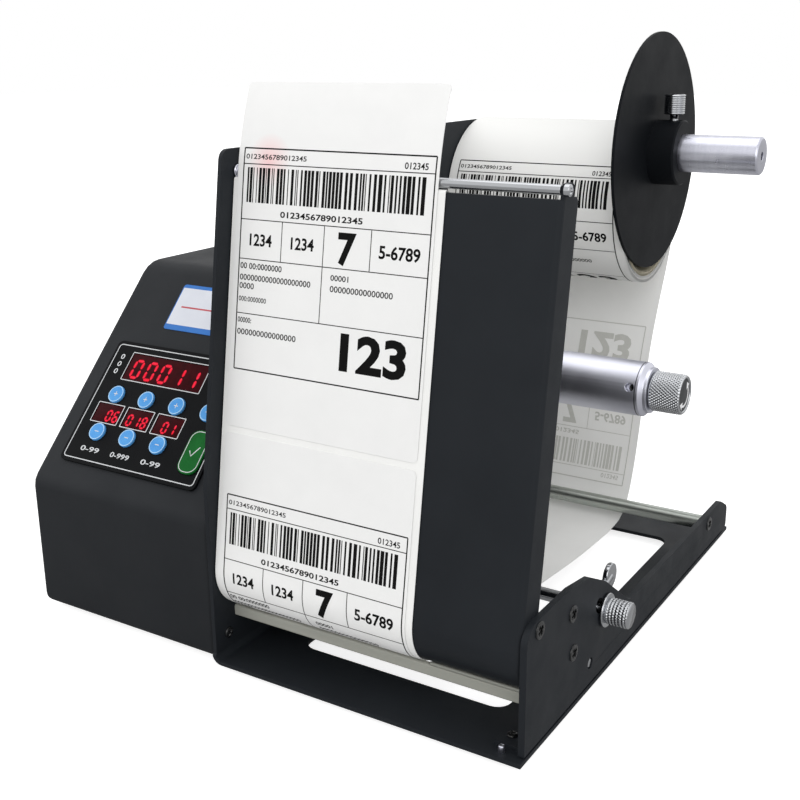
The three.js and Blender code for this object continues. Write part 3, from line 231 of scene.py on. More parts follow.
# Name, darker and paler colour, lowest and highest roughness, noise scale, bump strength, grain scale
LOOKS = {
    "sheet": plain("sheet_black", "1e2125", "24272b", 0.42, 0.55, 18, 0.22, 3200, specular=0.12),
    "housing": plain("housing_grey", "222427", "282a2d", 0.5, 0.62, 14, 0.45, 2400, specular=0.12),
    "disc": plain("disc_black", "131518", "16181b", 0.42, 0.5, 22, 0.15, 2600, specular=0.05),
    "chrome": plain("chrome", "b0b2b5", "bfc1c4", 0.12, 0.2, 60, 0.05, 900, metal=1.0, stretch=(0.2, 1, 1)),
    "alloy": plain("satin_alloy", "c9cad6", "d3d4df", 0.27, 0.31, 60, 0.05, 1600, metal=1.0,
                   stretch=(6, 1, 1)),
    "flatbar": plain("dull_bar", "9d9e96", "b1b1a8", 0.5, 0.62, 70, 0.12, 1500, metal=0.15, specular=0.25,
                     stretch=(0.1, 1, 1)),
    "rod": plain("plated_rod", "9fa5a0", "bcc0ba", 0.25, 0.38, 60, 0.06, 1200, metal=0.9,
                 stretch=(0.15, 1, 1)),
    "liner": plain("liner_paper", "e6e6e4", "ededeb", 0.45, 0.6, 30, 0.06, 1200, specular=0.3),
    "card": plain("core_card", "cfc6ab", "ddd5bd", 0.75, 0.9, 120, 0.4, 1500, stretch=(0.3, 1, 1)),
    "film": plain("panel_film", "0b0c0e", "0f1012", 0.38, 0.48, 40, 0.05, 2400, specular=0.05),
    "screen": plain("display_window", "2c0308", "3c050c", 0.3, 0.4, 300, 0.04, 900, specular=0.04),
    "key": plain("key_blue", "4a92d6", "5aa2e0", 0.4, 0.5, 140, 0.1, 1800, specular=0.15),
    "key_rim": plain("key_rim_blue", "9cc8ee", "b0d6f5", 0.4, 0.5, 140, 0.05, 1800, specular=0.2),
    "confirm": plain("key_green", "0c5720", "146629", 0.4, 0.5, 140, 0.1, 1800, specular=0.08),
    "board": plain("board_green", "1c5230", "276b3f", 0.4, 0.6, 160, 0.1, 1500),
    "plastic": plain("moulded_black", "17181a", "1f2023", 0.45, 0.6, 60, 0.2, 2200),
    "rubber": plain("rubber_black", "141414", "1d1d1d", 0.75, 0.9, 80, 0.4, 1800),
    "motor": plain("motor_can", "7f8286", "999ca0", 0.3, 0.45, 80, 0.1, 1500, metal=0.9),
    "ink": plain("print_ink", "0a0a0a", "101010", 0.55, 0.7, 400, 0.02, 2000, specular=0.08),
    "ink_soft": plain("print_grey", "2c2c2c", "363636", 0.55, 0.7, 400, 0.02, 2000, specular=0.1),
    "ghost": plain("print_seen_through", "bfbfba", "c6c6c1", 0.5, 0.6, 400, 0.02, 2000, specular=0.3),
    "line": plain("panel_line", "c9cbcd", "d6d8da", 0.45, 0.6, 400, 0.02, 2000, specular=0.3),
    # Painted highlight: the white strokes on the take-up knob's end
    "mark": plain("painted_highlight_white", "ebecee", "f2f3f4", 0.45, 0.6, 400, 0.02, 2000, specular=0.3),
    "badge": plain("badge_white", "d2d5de", "dadde5", 0.35, 0.5, 60, 0.03, 2000, specular=0.2),
    "badge_blue": plain("badge_blue", "2f6cb8", "3a78c4", 0.35, 0.5, 60, 0.03, 2000, specular=0.2),
    "badge_red": plain("badge_red", "b03a44", "bd4650", 0.35, 0.5, 60, 0.03, 2000),
    # Painted shade: the dark strokes in the wall screws' cross recesses
    "dark": plain("painted_recess_shade", "060607", "0a0a0b", 0.6, 0.8, 80, 0.1, 1500, specular=0.05),
    "screw": plain("blackened_screw", "0c0d0e", "121315", 0.22, 0.3, 90, 0.08, 1500),
    # Painted shade: the dark disc in the take-up knob's end recess
    "knob_shade": plain("knob_painted_shade", "2c2f31", "36393c", 0.3, 0.4, 60, 0.05, 1500, specular=0.15),
}

# The sensor's red light, painted on the standing label: the middle of the painted spot, its reach and its
# strength
SPOT = (16.5, 33.0, 0.0)
SPOT_R = 11.5
SPOT_STRENGTH = 0.36


def paper_look():
    """Label paper with fine fibre, and the sensor's red light painted as a red spot on the standing label."""
    look = Look("label_paper")
    fibre = look.noise(60)
    paper = look.mix(look.spread(fibre, 0, 1), hexa("eeeeed"), hexa("f1f1f0"))
    spot = look.add("ShaderNodeVectorMath", operation="DISTANCE")
    look.link(look.vector, spot.inputs[0])
    spot.inputs[1].default_value = standing(*SPOT)
    glow = look.spread(spot.outputs["Value"], SPOT_STRENGTH, 0.0, 0.0, SPOT_R / PER_METRE)
    # Painted light: the paper's colour turns red round the sensor's spot
    look.colour(look.mix(glow, paper, hexa("ff6a70")))
    look.rough(200, 0.5, 0.62)
    look.bump(look.noise(2600, detail=2.0), 0.05, FINE_DEPTH)
    look.specular(0.35)
    return look


WOUND_PITCH = 0.45


def wound_look():
    """The roll: fine rings of liner and label on its flat sides, plain paper round it."""
    look = Look("wound_paper")
    y = look.math("SUBTRACT", look.axis(1), at(0, ROLL_Y, 0).y)
    z = look.math("SUBTRACT", look.axis(2), at(0, 0, ROLL_Z).z)
    radius = look.math("SQRT", look.math("ADD", look.math("MULTIPLY", y, y), look.math("MULTIPLY", z, z)))
    turn = look.math("SINE", look.math("MULTIPLY", radius, 2 * math.pi * PER_METRE / WOUND_PITCH))
    facing = look.add("ShaderNodeNewGeometry")
    split = look.add("ShaderNodeSeparateXYZ")
    look.link(facing.outputs["Normal"], split.inputs[0])
    side = look.spread(look.math("ABSOLUTE", split.outputs[0]), 0, 1, 0.4, 0.8)
    rings = look.mix(look.spread(turn, 0, 1, -1, 1), hexa("cfc8b4"), hexa("eeebe2"))
    look.colour(look.mix(side, hexa("ececea"), rings))
    look.rough(80, 0.5, 0.65)
    look.bump(look.math("MULTIPLY", turn, side), 0.25, RING_DEPTH)
    look.specular(0.35)
    return look


# The spindle's groove, with its shade painted: how far in from the end it lies, and half its width, dark and
# with its faded edge
GROOVE_IN = 4.6
GROOVE_SHADE_CORE = 0.15
GROOVE_SHADE_EDGE = 0.3


def spindle_look():
    """Satin turned spindle, with painted shade along the fine groove beside its end ring."""
    look = Look("spindle_alloy")
    along = look.noise(40, stretch=(2, 1, 1))
    satin = look.mix(look.spread(along, 0, 1), hexa("d2d3de"), hexa("d9dae4"))
    middle = at(SPINDLE.high.x - GROOVE_IN, 0, 0).x
    away = look.math("ABSOLUTE", look.math("SUBTRACT", look.axis(0), middle))
    groove = look.spread(away, 1.0, 0.0, GROOVE_SHADE_CORE / PER_METRE, GROOVE_SHADE_EDGE / PER_METRE)
    # Painted shade: the colour darkens to a line where the groove lies
    look.colour(look.mix(groove, satin, hexa("4d4e55")))
    look.rough(60, 0.4, 0.44, stretch=(2, 1, 1))
    look.bump(look.noise(1800), 0.06, FINE_DEPTH)
    look.metal(1.0)
    return look


def lit_look(name, dark, pale, strength):
    """Lit segments of the counters, a little uneven."""
    look = Look(name)
    fac = look.spread(look.noise(700), 0, 1)
    look.colour(look.mix(fac, hexa("300006"), hexa("3c0008")))
    look.link(look.mix(fac, hexa(dark), hexa(pale)), look.shader.inputs["Emission Color"])
    look.shader.inputs["Emission Strength"].default_value = strength
    look.rough(300, 0.35, 0.5)
    look.specular(0.05)
    return look


# The labels' outer face on the leaning tower, where it goes over into the round foot
FACE_Y = ROUND_Y - LABEL_FACE * math.cos(LEAN)
FACE_Z = ROUND_Z + LABEL_FACE * math.sin(LEAN)


def face_y(z):
    """How far back the labels' outer face lies at a height."""
    return FACE_Y + (z - FACE_Z) * math.tan(LEAN)


def standing(u, v, h):
    """A point on the label being peeled: u from its left edge, v down from its top edge, h in front of it."""
    rise = LABEL_GAP + LABEL_L - v
    free = (PEEL_Z - LABEL_TOP_Z) / math.cos(LEAN)
    over = max(0.0, rise - free) / (LABEL_GAP + LABEL_L - free)
    y = face_y(LABEL_TOP_Z) + rise * math.sin(LEAN) + PEEL_BACK * over**2
    z = LABEL_TOP_Z + rise * math.cos(LEAN) + h * math.sin(LEAN)
    return at(LABEL_X0 + u, y - h * math.cos(LEAN), z)


def lower(u, v, h):
    """A point on the second label, which runs down the face and round its lower end."""
    straight = (LABEL_TOP_Z - FACE_Z) / math.cos(LEAN)
    if v <= straight:
        z = LABEL_TOP_Z - v * math.cos(LEAN)
        return at(LABEL_X0 + u, face_y(z) - h * math.cos(LEAN), z + h * math.sin(LEAN))
    angle = math.pi - LEAN + (v - straight) / LABEL_FACE
    radius = LABEL_FACE + h
    return at(LABEL_X0 + u, ROUND_Y + radius * math.cos(angle), ROUND_Z + radius * math.sin(angle))


# Where the roll's print begins, and how far the paper under it stands off the roll
ROLL_PRINT_START = math.radians(149.5)
ROLL_LIFT = 0.02


def round_roll(u, v, h):
    """A point on the outer turn of the roll; v runs down its front from the label's top edge."""
    radius = ROLL_R + ROLL_LIFT + h
    angle = ROLL_PRINT_START + (v - PRINT_TOP) / ROLL_R
    return at(LABEL_X0 + u, ROLL_Y + radius * math.cos(angle), ROLL_Z + radius * math.sin(angle))


# Points this near to a label's left edge belong to it
EDGE_BAND = 0.02
TINY = 1e-9


def follower(node, axis, sign):
    """Maps (u, v, h) along a label of the CAD by the line of its own edge; h is out of the web's loop."""
    points = [vertex.co for vertex in NODES[node].data.vertices]
    edge = min(p.x for p in points) + EDGE_BAND / PER_METRE
    rows = sorted({(round(p[axis], 7), round(p[3 - axis], 7)) for p in points if p.x < edge})
    line = [Vector(((a[0] + b[0]) / 2, (a[1] + b[1]) / 2)) for a, b in zip(rows[0::2], rows[1::2])]
    steps = [0.0]
    for a, b in zip(line, line[1:]):
        steps.append(steps[-1] + (b - a).length)
    ease = (LABEL_L / PER_METRE - steps[-1]) / 2

    def place(u, v, h):
        s = min(max(v / PER_METRE - ease, 0.0), steps[-1] - TINY)
        i = next(k for k in range(1, len(steps)) if steps[k] >= s)
        t = (s - steps[i - 1]) / (steps[i] - steps[i - 1])
        run = (line[i] - line[i - 1]).normalized()
        normal = Vector((-run.y, run.x)) * sign
        spot = line[i - 1].lerp(line[i], t) + normal * (LABEL_T / 2 + h) / PER_METRE
        pair = (spot.x, spot.y) if axis == 1 else (spot.y, spot.x)
        return Vector((at(LABEL_X0 + u, 0, 0).x, *pair))

    return place


PAINTED_PAPER_GLOW = 0.09


def paint_glow(look, colour):
    """Painted light: the paper glows a little so that its shaded side isn't dark, standing in for light let
    through the thin paper.
    """
    look.shader.inputs["Emission Color"].default_value = (*hexa(colour), 1)
    look.shader.inputs["Emission Strength"].default_value = PAINTED_PAPER_GLOW


# The liner and the print seen through it get this painted glow
paint_glow(LOOKS["liner"], "e8e8e6")
paint_glow(LOOKS["ghost"], "c2c2bd")
LOOKS["paper"] = paper_look()
LOOKS["roll"] = wound_look()
LOOKS["spindle"] = spindle_look()
LOOKS["lit"] = lit_look("lit_segment", "f8142e", "ff3550", 1.0)
LOOKS["halo"] = lit_look("lit_halo", "8e0818", "a00c1e", 0.8)

NODE_LOOKS = {
    "sheet": ["frame", "side_wall", "wall_angle_front", "wall_angle_rear", "front_tower", "sensor_bracket",
              "motor_mount"],
    "housing": ["housing_cover"],
    "disc": ["outer_flange"],
    "chrome": ["peel_rod", "guide_rod", "guide_collar", "collar_screw", "edge_knob", "flange_screw",
               "takeup_knob", "shaft_screw"],
    "rod": ["rear_rod"],
    "alloy": ["supply_shaft", "motor_pulley"],
    "spindle": ["takeup_spindle"],
    "flatbar": ["guide_bar"],
    "paper": ["label_1", "label_2", "label_3", "label_4"],
    "roll": ["label_roll"],
    "liner": ["liner_web", "liner_coil"],
    "card": ["roll_core"],
    "film": ["control_panel"],
    "screen": ["display_main", "display_1", "display_2", "display_3"],
    "key": [f"key_plus_{i}" for i in (1, 2, 3, 4)] + [f"key_minus_{i}" for i in (1, 2, 3)],
    "confirm": ["key_confirm"],
    "board": ["control_board"],
    "plastic": ["peel_sensor", "power_inlet", "power_switch", "spindle_bearing", "takeup_pulley"],
    "rubber": ["drive_belt"] + [f"foot_{i}" for i in range(1, 7)],
    "motor": ["drive_motor"],
}
BEVELS = {
    "sheet": 0.25, "housing": 0.3, "disc": 0.3, "chrome": 0.2, "alloy": 0.3, "spindle": 0.25, "flatbar": 0.3,
    "film": 0.15, "key": 0.2, "confirm": 0.2, "plastic": 0.3, "rubber": 0.3, "motor": 0.3, "rod": 0.3,
}
WELD = 0.002
SHARP = math.radians(32)


def soften(obj, width):
    """Rounds the sharp edges a little and keeps the flat faces flat."""
    for polygon in obj.data.polygons:
        polygon.use_smooth = True
    weld = obj.modifiers.new("weld", "WELD")
    weld.merge_threshold = WELD / PER_METRE
    if width:
        bevel = obj.modifiers.new("edge", "BEVEL")
        bevel.width = width / PER_METRE
        bevel.segments = 2
        bevel.limit_method = "ANGLE"
        bevel.angle_limit = SHARP
        bevel.harden_normals = True
        bevel.use_clamp_overlap = True
    normals = obj.modifiers.new("normals", "WEIGHTED_NORMAL")
    normals.keep_sharp = True


for look, names in NODE_LOOKS.items():
    for name in names:
        node = NODES[name]
        node.data.materials.clear()
        node.data.materials.append(LOOKS[look].material)
        soften(node, BEVELS.get(look, 0))


# Pieces
def piece(name, points, faces, look, body="machine", smooth=False, bevel=0.0):
    mesh = bpy.data.meshes.new(name)
    mesh.from_pydata([tuple(p) for p in points], [], faces)
    mesh.validate()
    mesh.materials.append(LOOKS[look].material)
    obj = bpy.data.objects.new(name, mesh)
    bpy.context.scene.collection.objects.link(obj)
    if smooth:
        soften(obj, bevel)
    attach(obj, body)
    return obj


# Height of the strips that bend with their sheet, and a font's size for figures one millimetre high
STRIP = 0.9
FONT_SHARE = 1.4


def words(string, size, bold):
    """A string of numbers as flat polygons, cut across in strips so that it can bend with its sheet."""
    curve = bpy.data.curves.new("numbers", "FONT")
    curve.body = string
    curve.size = size
    curve.offset = bold
    curve.resolution_u = 3
    obj = bpy.data.objects.new("numbers", curve)
    bpy.context.scene.collection.objects.link(obj)
    mesh = bpy.data.meshes.new_from_object(obj.evaluated_get(bpy.context.evaluated_depsgraph_get()))
    form = bmesh.new()
    form.from_mesh(mesh)
    cut = min(v.co.y for v in form.verts) + STRIP
    top = max(v.co.y for v in form.verts)
    while cut < top:
        everything = form.verts[:] + form.edges[:] + form.faces[:]
        bmesh.ops.bisect_plane(form, geom=everything, plane_co=(0, cut, 0), plane_no=(0, 1, 0))
        cut += STRIP
    form.verts.index_update()
    points = [(v.co.x, v.co.y) for v in form.verts]
    faces = [tuple(v.index for v in face.verts) for face in form.faces]
    form.free()
    bpy.data.objects.remove(obj)
    bpy.data.curves.remove(curve)
    bpy.data.meshes.remove(mesh)
    return points, faces


class Art:
    """Flat marks in (u, v) millimetres, gathered and then laid on a surface by a placing function."""

    def __init__(self):
        self.points = []
        self.faces = []

    def polygon(self, outline):
        start = len(self.points)
        self.points += outline
        self.faces.append(tuple(range(start, len(self.points))))

    def bar(self, u0, v0, u1, v1, step=1.5):
        """A filled rectangle, cut across every few millimetres so that it can bend with its sheet."""
        count = max(1, math.ceil(abs(v1 - v0) / step))
        for k in range(count):
            a = v0 + (v1 - v0) * k / count
            b = v0 + (v1 - v0) * (k + 1) / count
            self.polygon([(u0, a), (u1, a), (u1, b), (u0, b)])

    def text(self, string, u, v, height, width, bold, align="left", down=1):
        """Numbers with their lower edge at v; height is that of a figure, and down is 1 where v runs down."""
        points, faces = words(string, height * FONT_SHARE, bold * height)
        left = min(p[0] for p in points)
        span = max(p[0] for p in points) - left
        wide = width / span
        start = len(self.points)
        shift = {"left": 0.0, "middle": span * wide / 2, "right": span * wide}[align]
        self.points += [(u + (x - left) * wide - shift, v - y * down) for x, y in points]
        self.faces += [tuple(start + i for i in face) for face in faces]

    def frame(self, u0, v0, u1, v1, line, radius, steps=6):
        """A rounded rectangular line."""
        outer, inner = [], []
        up = 1 if v1 > v0 else -1
        corners = ((u1, v0, -90), (u1, v1, 0), (u0, v1, 90), (u0, v0, 180))
        for cu, cv, a0 in corners:
            ou = cu + (-radius if cu == u1 else radius)
            ov = cv + (radius if cv == v0 else -radius) * up
            for k in range(steps + 1):
                angle = math.radians(a0 + 90 * k / steps)
                du, dv = math.cos(angle), math.sin(angle) * up
                outer.append((ou + du * radius, ov + dv * radius))
                inner.append((ou + du * (radius - line), ov + dv * (radius - line)))
        start = len(self.points)
        self.points += outer + inner
        n = len(outer)
        for k in range(n):
            m = (k + 1) % n
            self.faces.append((start + k, start + m, start + n + m, start + n + k))

    def stroke(self, line, width):
        """A line of even width through a few points."""
        sides = ([], [])
        for k, (u, v) in enumerate(line):
            a, b = line[max(0, k - 1)], line[min(len(line) - 1, k + 1)]
            run = Vector((b[0] - a[0], b[1] - a[1])).normalized() * width / 2
            sides[0].append((u - run.y, v + run.x))
            sides[1].append((u + run.y, v - run.x))
        start = len(self.points)
        count = len(line)
        self.points += sides[0] + sides[1]
        for k in range(count - 1):
            self.faces.append((start + k, start + k + 1, start + count + k + 1, start + count + k))

    def ring(self, cu, cv, radius, width, steps=40):
        turn = [2 * math.pi * k / steps for k in range(steps + 1)]
        self.stroke([(cu + radius * math.cos(a), cv + radius * math.sin(a)) for a in turn], width)

    def lay(self, name, place, lift, look, slot, body="machine"):
        points = [place(u, v, lift) for u, v in self.points]
        return piece(name, points, self.faces, look, body)


# Print of one label: a frame, a row of bars and plain numbers
PRINT_LEFT = 3.1
PRINT_RIGHT = 98.4
PRINT_TOP = 28.3
PRINT_HEAD = 34.9
PRINT_BARS = 58.4
PRINT_CELLS = 75.4
PRINT_ITEMS = 99.1
PRINT_LOW = 123.8
CELL_SHARES = (0.235, 0.465, 0.71)
BAR_TOP = 36.4
BAR_LOW = 51.2
BAR_LEFT = 5.4
BAR_RIGHT = 94.8
MODULE = 0.45
EDGE_LINE = 0.58
LINE = 0.38
HEAVY, FAIR, LIGHT = 0.05, 0.034, 0.02
TEXT_LEFT = PRINT_LEFT + 0.8


def print_lines(black):
    """The frame of the print, its cross lines and its cells."""
    width = PRINT_RIGHT - PRINT_LEFT
    for v in (PRINT_HEAD, PRINT_BARS, PRINT_CELLS, PRINT_ITEMS):
        black.bar(PRINT_LEFT, v - LINE / 2, PRINT_RIGHT, v + LINE / 2)
    for v in (PRINT_TOP, PRINT_LOW):
        black.bar(PRINT_LEFT, v - EDGE_LINE / 2, PRINT_RIGHT, v + EDGE_LINE / 2)
    for u in (PRINT_LEFT, PRINT_RIGHT):
        black.bar(u - EDGE_LINE / 2, PRINT_TOP, u + EDGE_LINE / 2, PRINT_LOW)
    for share in CELL_SHARES:
        u = PRINT_LEFT + width * share
        black.bar(u - LINE / 2, PRINT_BARS, u + LINE / 2, PRINT_CELLS)
    middle = PRINT_LEFT + width * CELL_SHARES[1]
    black.bar(middle - LINE / 2, PRINT_CELLS, middle + LINE / 2, PRINT_ITEMS)


def print_bars(black):
    """A row of bars of random widths, which carry no code."""
    rng = random.Random(7)
    u = BAR_LEFT
    while u < BAR_RIGHT - 3 * MODULE:
        bar = MODULE * rng.choice((1, 2, 2, 3, 3, 4))
        black.bar(u, BAR_TOP, u + bar, BAR_LOW)
        u += bar + MODULE * rng.choice((1, 1, 2, 2, 3))


def print_numbers(black, grey):
    """Rows of art, numbers, u, v of the lower edge, height, width, weight and the side that is held at u."""
    width = PRINT_RIGHT - PRINT_LEFT
    right = PRINT_LEFT + width * CELL_SHARES[1] + 4.5
    rows = [
        (grey, "0123456789012345", PRINT_LEFT + 1, PRINT_HEAD - 2.1, 2.1, 32, LIGHT),
        (black, "012345", PRINT_RIGHT - 3.4, PRINT_HEAD - 1.3, 2.6, 10.9, LIGHT, "right"),
        (black, "0123456789012345", PRINT_LEFT + width * 0.44, PRINT_BARS - 1.8, 2.5, 42, FAIR, "middle"),
    ]
    cells = (("1234", 5.0, 12.0, FAIR), ("1234", 5.0, 12.0, FAIR), ("7", 12.6, 9.0, HEAVY),
             ("5-6789", 5.2, 19.5, FAIR))
    shares = (0.0, *CELL_SHARES, 1.0)
    for cell, start, end in zip(cells, shares, shares[1:]):
        string, height, wide, bold = cell
        centre = PRINT_LEFT + width * (start + end) / 2
        low_edge = (PRINT_BARS + PRINT_CELLS) / 2 + height / 2
        rows.append((black, string, centre, low_edge, height, wide, bold, "middle"))
    rows += [
        (black, "00 00:0000000", TEXT_LEFT, PRINT_CELLS + 4.2, 2.6, 22.5, LIGHT),
        (grey, "0000000000000000000", TEXT_LEFT, PRINT_CELLS + 9.2, 2.6, 38, LIGHT),
        (grey, "0000", TEXT_LEFT, PRINT_CELLS + 12.9, 2.6, 8, LIGHT),
        (grey, "000:0000000", TEXT_LEFT, PRINT_CELLS + 18.4, 2.2, 15, LIGHT),
        (black, "00001", right, PRINT_CELLS + 5.2, 2.4, 9, LIGHT),
        (grey, "000000000000000", right, PRINT_CELLS + 9.9, 2.6, 31, LIGHT),
        (black, "00000:", TEXT_LEFT, PRINT_ITEMS + 4.0, 2.3, 7.5, LIGHT),
        (grey, "000000000000000", TEXT_LEFT, PRINT_ITEMS + 9.3, 2.6, 32, LIGHT),
        (black, "123", PRINT_RIGHT - 7.0, PRINT_LOW - 7.0, 15.0, 32.5, HEAVY, "right"),
    ]
    for art, *row in rows:
        art.text(*row)


BLACK, GREY = Art(), Art()
print_lines(BLACK)
print_bars(BLACK)
print_numbers(BLACK, GREY)
PLACES = {
    "standing": standing,
    "lower": lower,
    "under": follower("label_3", 1, -1),
    "rear": follower("label_4", 2, 1),
    "roll": round_roll,
}
for key, place in PLACES.items():
    rider = "roll" if key == "roll" else "machine"
    BLACK.lay(f"print_{key}", place, INK_LIFT, "ink", "label_paper", rider)
    GREY.lay(f"print_fine_{key}", place, INK_LIFT, "ink_soft", "label_paper", rider)

# How far behind the label's face the inner side of the liner lies
LINER_BACK = 0.62


def see_through(place):
    """The same print as it shows through the liner on the inner side of the web."""
    return lambda u, v, h: place(u, v, -LINER_BACK - h)


BLACK.lay("print_through_rear", see_through(PLACES["rear"]), INK_LIFT, "ghost", "liner_paper")

# Control panel: lines, windows, lit figures and key marks
PANEL_FACE = 1.4
SCREEN_FACE = 1.1
KEY_FACE = 2.5
KEY_R = 4.8
PANEL_EDGE = (-105.0, 81.5, -19.0, 15.5)
WIDE_WINDOW = (-93.6, 78.0, -40.6, 61.6)
SMALL_LEFTS = (-99.5, -79.1, -58.7)
SMALL_W, SMALL_TOP, SMALL_LOW = 18.2, 47.9, 36.5
LEGENDS = ((-90.0, "0-99"), (-69.6, "0-999"), (-49.2, "0-99"))
LEGEND_V, LEGEND_H, LEGEND_W = 20.4, 2.7, 12.4
ZERO_U, ZERO_V, ZERO_PITCH, ZERO_H, ZERO_W = -99.2, 64.4, 4.3, 2.9, 2.5
marks = Art()
marks.frame(*PANEL_EDGE, 0.5, 2.0)
marks.frame(*WIDE_WINDOW, 0.45, 0.6)
for u in SMALL_LEFTS:
    marks.frame(u, SMALL_TOP, u + SMALL_W, SMALL_LOW, 0.45, 0.5)
for u, string in LEGENDS:
    marks.text(string, u, LEGEND_V, LEGEND_H, LEGEND_W, LIGHT, align="middle", down=-1)
for i in range(3):
    marks.text("0", ZERO_U, ZERO_V + ZERO_PITCH * i, ZERO_H, ZERO_W, LIGHT, align="middle", down=-1)
marks.lay("panel_marks", on_slope, PANEL_FACE + INK_LIFT, "line", "panel_film")

SEGMENTS = {"0": "abcdef", "1": "bc", "6": "afgedc", "8": "abcdefg"}
SLANT = 0.03


def figures(art, string, u, v, width, height, pitch, line):
    """Slanted seven-bar figures with pointed bars."""
    half = line / 2
    short = min(height * 0.03, line * 0.2)
    long = short + half

    def bar(x0, y0, x1, y1):
        if abs(x1 - x0) > abs(y1 - y0):
            return [(x0 + short, y0), (x0 + long, y0 - half), (x1 - long, y0 - half),
                    (x1 - short, y0), (x1 - long, y0 + half), (x0 + long, y0 + half)]
        return [(x0, y0 + short), (x0 + half, y0 + long), (x0 + half, y1 - long),
                (x0, y1 - short), (x0 - half, y1 - long), (x0 - half, y0 + long)]

    w, h = width, height
    lines = {
        "a": (0, h, w, h), "b": (w, h / 2, w, h), "c": (w, 0, w, h / 2), "d": (0, 0, w, 0),
        "e": (0, 0, 0, h / 2), "f": (0, h / 2, 0, h), "g": (0, h / 2, w, h / 2),
    }
    for k, figure in enumerate(string):
        for name in SEGMENTS[figure]:
            art.polygon([(u + pitch * k + x + SLANT * y, v + y) for x, y in bar(*lines[name])])


# Figures, u, v, width, height, pitch and line of each counter
COUNTS = (
    ("00011", -88.8, 64.0, 4.9, 9.6, 9.4, 1.3),
    ("06", -90.4, 38.3, 2.7, 5.6, 4.6, 0.9),
    ("018", -76.2, 38.3, 2.7, 5.6, 4.8, 0.9),
    ("01", -52.6, 38.3, 2.7, 5.6, 4.8, 0.9),
)
HALO = 1.6
lit, halo = Art(), Art()
for *row, line in COUNTS:
    figures(lit, *row, line)
    figures(halo, *row, HALO * line)
halo.lay("lit_halo", on_slope, SCREEN_FACE + INK_LIFT / 2, "halo", "display_red")
lit.lay("lit_figures", on_slope, SCREEN_FACE + 2 * INK_LIFT, "lit", "display_red")

KEY_LEFT, KEY_PITCH = -90.4, 20.4
PLUS_V, MINUS_V = 53.0, 31.4
SIGN_REACH, SIGN_HALF = 1.3, 0.22
RIM_LINE = 0.5
CONFIRM_EDGE = (-32.0, 42.8, -20.8, 21.2)
TICK = ((-29.0, 32.2), (-27.1, 29.6), (-23.8, 34.9))
KEYS = [(f"key_plus_{i + 1}", KEY_LEFT + KEY_PITCH * i, PLUS_V, True) for i in range(4)]
KEYS += [(f"key_minus_{i + 1}", KEY_LEFT + KEY_PITCH * i, MINUS_V, False) for i in range(3)]
for name, u, v, plus in KEYS:
    sign = Art()
    sign.bar(u - SIGN_REACH, v - SIGN_HALF, u + SIGN_REACH, v + SIGN_HALF)
    if plus:
        sign.bar(u - SIGN_HALF, v + SIGN_HALF, u + SIGN_HALF, v + SIGN_REACH)
        sign.bar(u - SIGN_HALF, v - SIGN_REACH, u + SIGN_HALF, v - SIGN_HALF)
    sign.lay(f"{name}_sign", on_slope, KEY_FACE + INK_LIFT, "line", "key_blue", f"{name}_cap")
    rim = Art()
    rim.ring(u, v, KEY_R - RIM_LINE, RIM_LINE)
    rim.lay(f"{name}_rim", on_slope, KEY_FACE + INK_LIFT, "key_rim", "key_blue", f"{name}_cap")
confirm = Art()
confirm.frame(*CONFIRM_EDGE, 0.4, 4.6)
confirm.stroke(TICK, 0.6)
confirm.lay("key_confirm_marks", on_slope, KEY_FACE + INK_LIFT, "line", "key_green", "key_confirm_cap")


# Bare badge on the slope, with a coloured edge above and below
def slab(name, outline, h0, h1, place, look):
    n = len(outline)
    points = [place(u, v, h0) for u, v in outline] + [place(u, v, h1) for u, v in outline]
    faces = [tuple(range(n - 1, -1, -1)), tuple(range(n, 2 * n))]
    faces += [(k, (k + 1) % n, n + (k + 1) % n, n + k) for k in range(n)]
    return piece(name, points, faces, look, smooth=True, bevel=0.08)


def rounded(u0, v0, u1, v1, r, steps=5):
    out = []
    corners = ((u1 - r, v0 + r, -90), (u1 - r, v1 - r, 0), (u0 + r, v1 - r, 90), (u0 + r, v0 + r, 180))
    for cu, cv, a0 in corners:
        for k in range(steps + 1):
            a = math.radians(a0 + 90 * k / steps)
            out.append((cu + r * math.cos(a), cv + r * math.sin(a)))
    return out


BADGE_BACK, BADGE_FACE = 0.05, 0.35
BADGE_EDGE = (-84, 94.5, -24, 121.9)
BADGE_FIELD = (-83.4, 97.6, -24.6, 119.8)
BADGE_RULE = (-79, 107.9, -29, 108.8)
slab("badge_plate", rounded(*BADGE_EDGE, 1.5), BADGE_BACK, BADGE_FACE, on_slope, "badge_blue")
field = Art()
field.polygon(rounded(*BADGE_FIELD, 0.3))
field.lay("badge_field", on_slope, BADGE_FACE + INK_LIFT, "badge", "panel_film")
rule = Art()
rule.bar(*BADGE_RULE)
rule.lay("badge_rule", on_slope, BADGE_FACE + 2 * INK_LIFT, "badge_red", "display_red")

# Screws with a cross recess: its arms and depth are shares of the head's radius and height
RECESS_HALF, RECESS_REACH, RECESS_DEPTH = 0.14, 0.62, 0.55
SEAT = 0.02
DOMED, FLAT = 0.75, 0.2


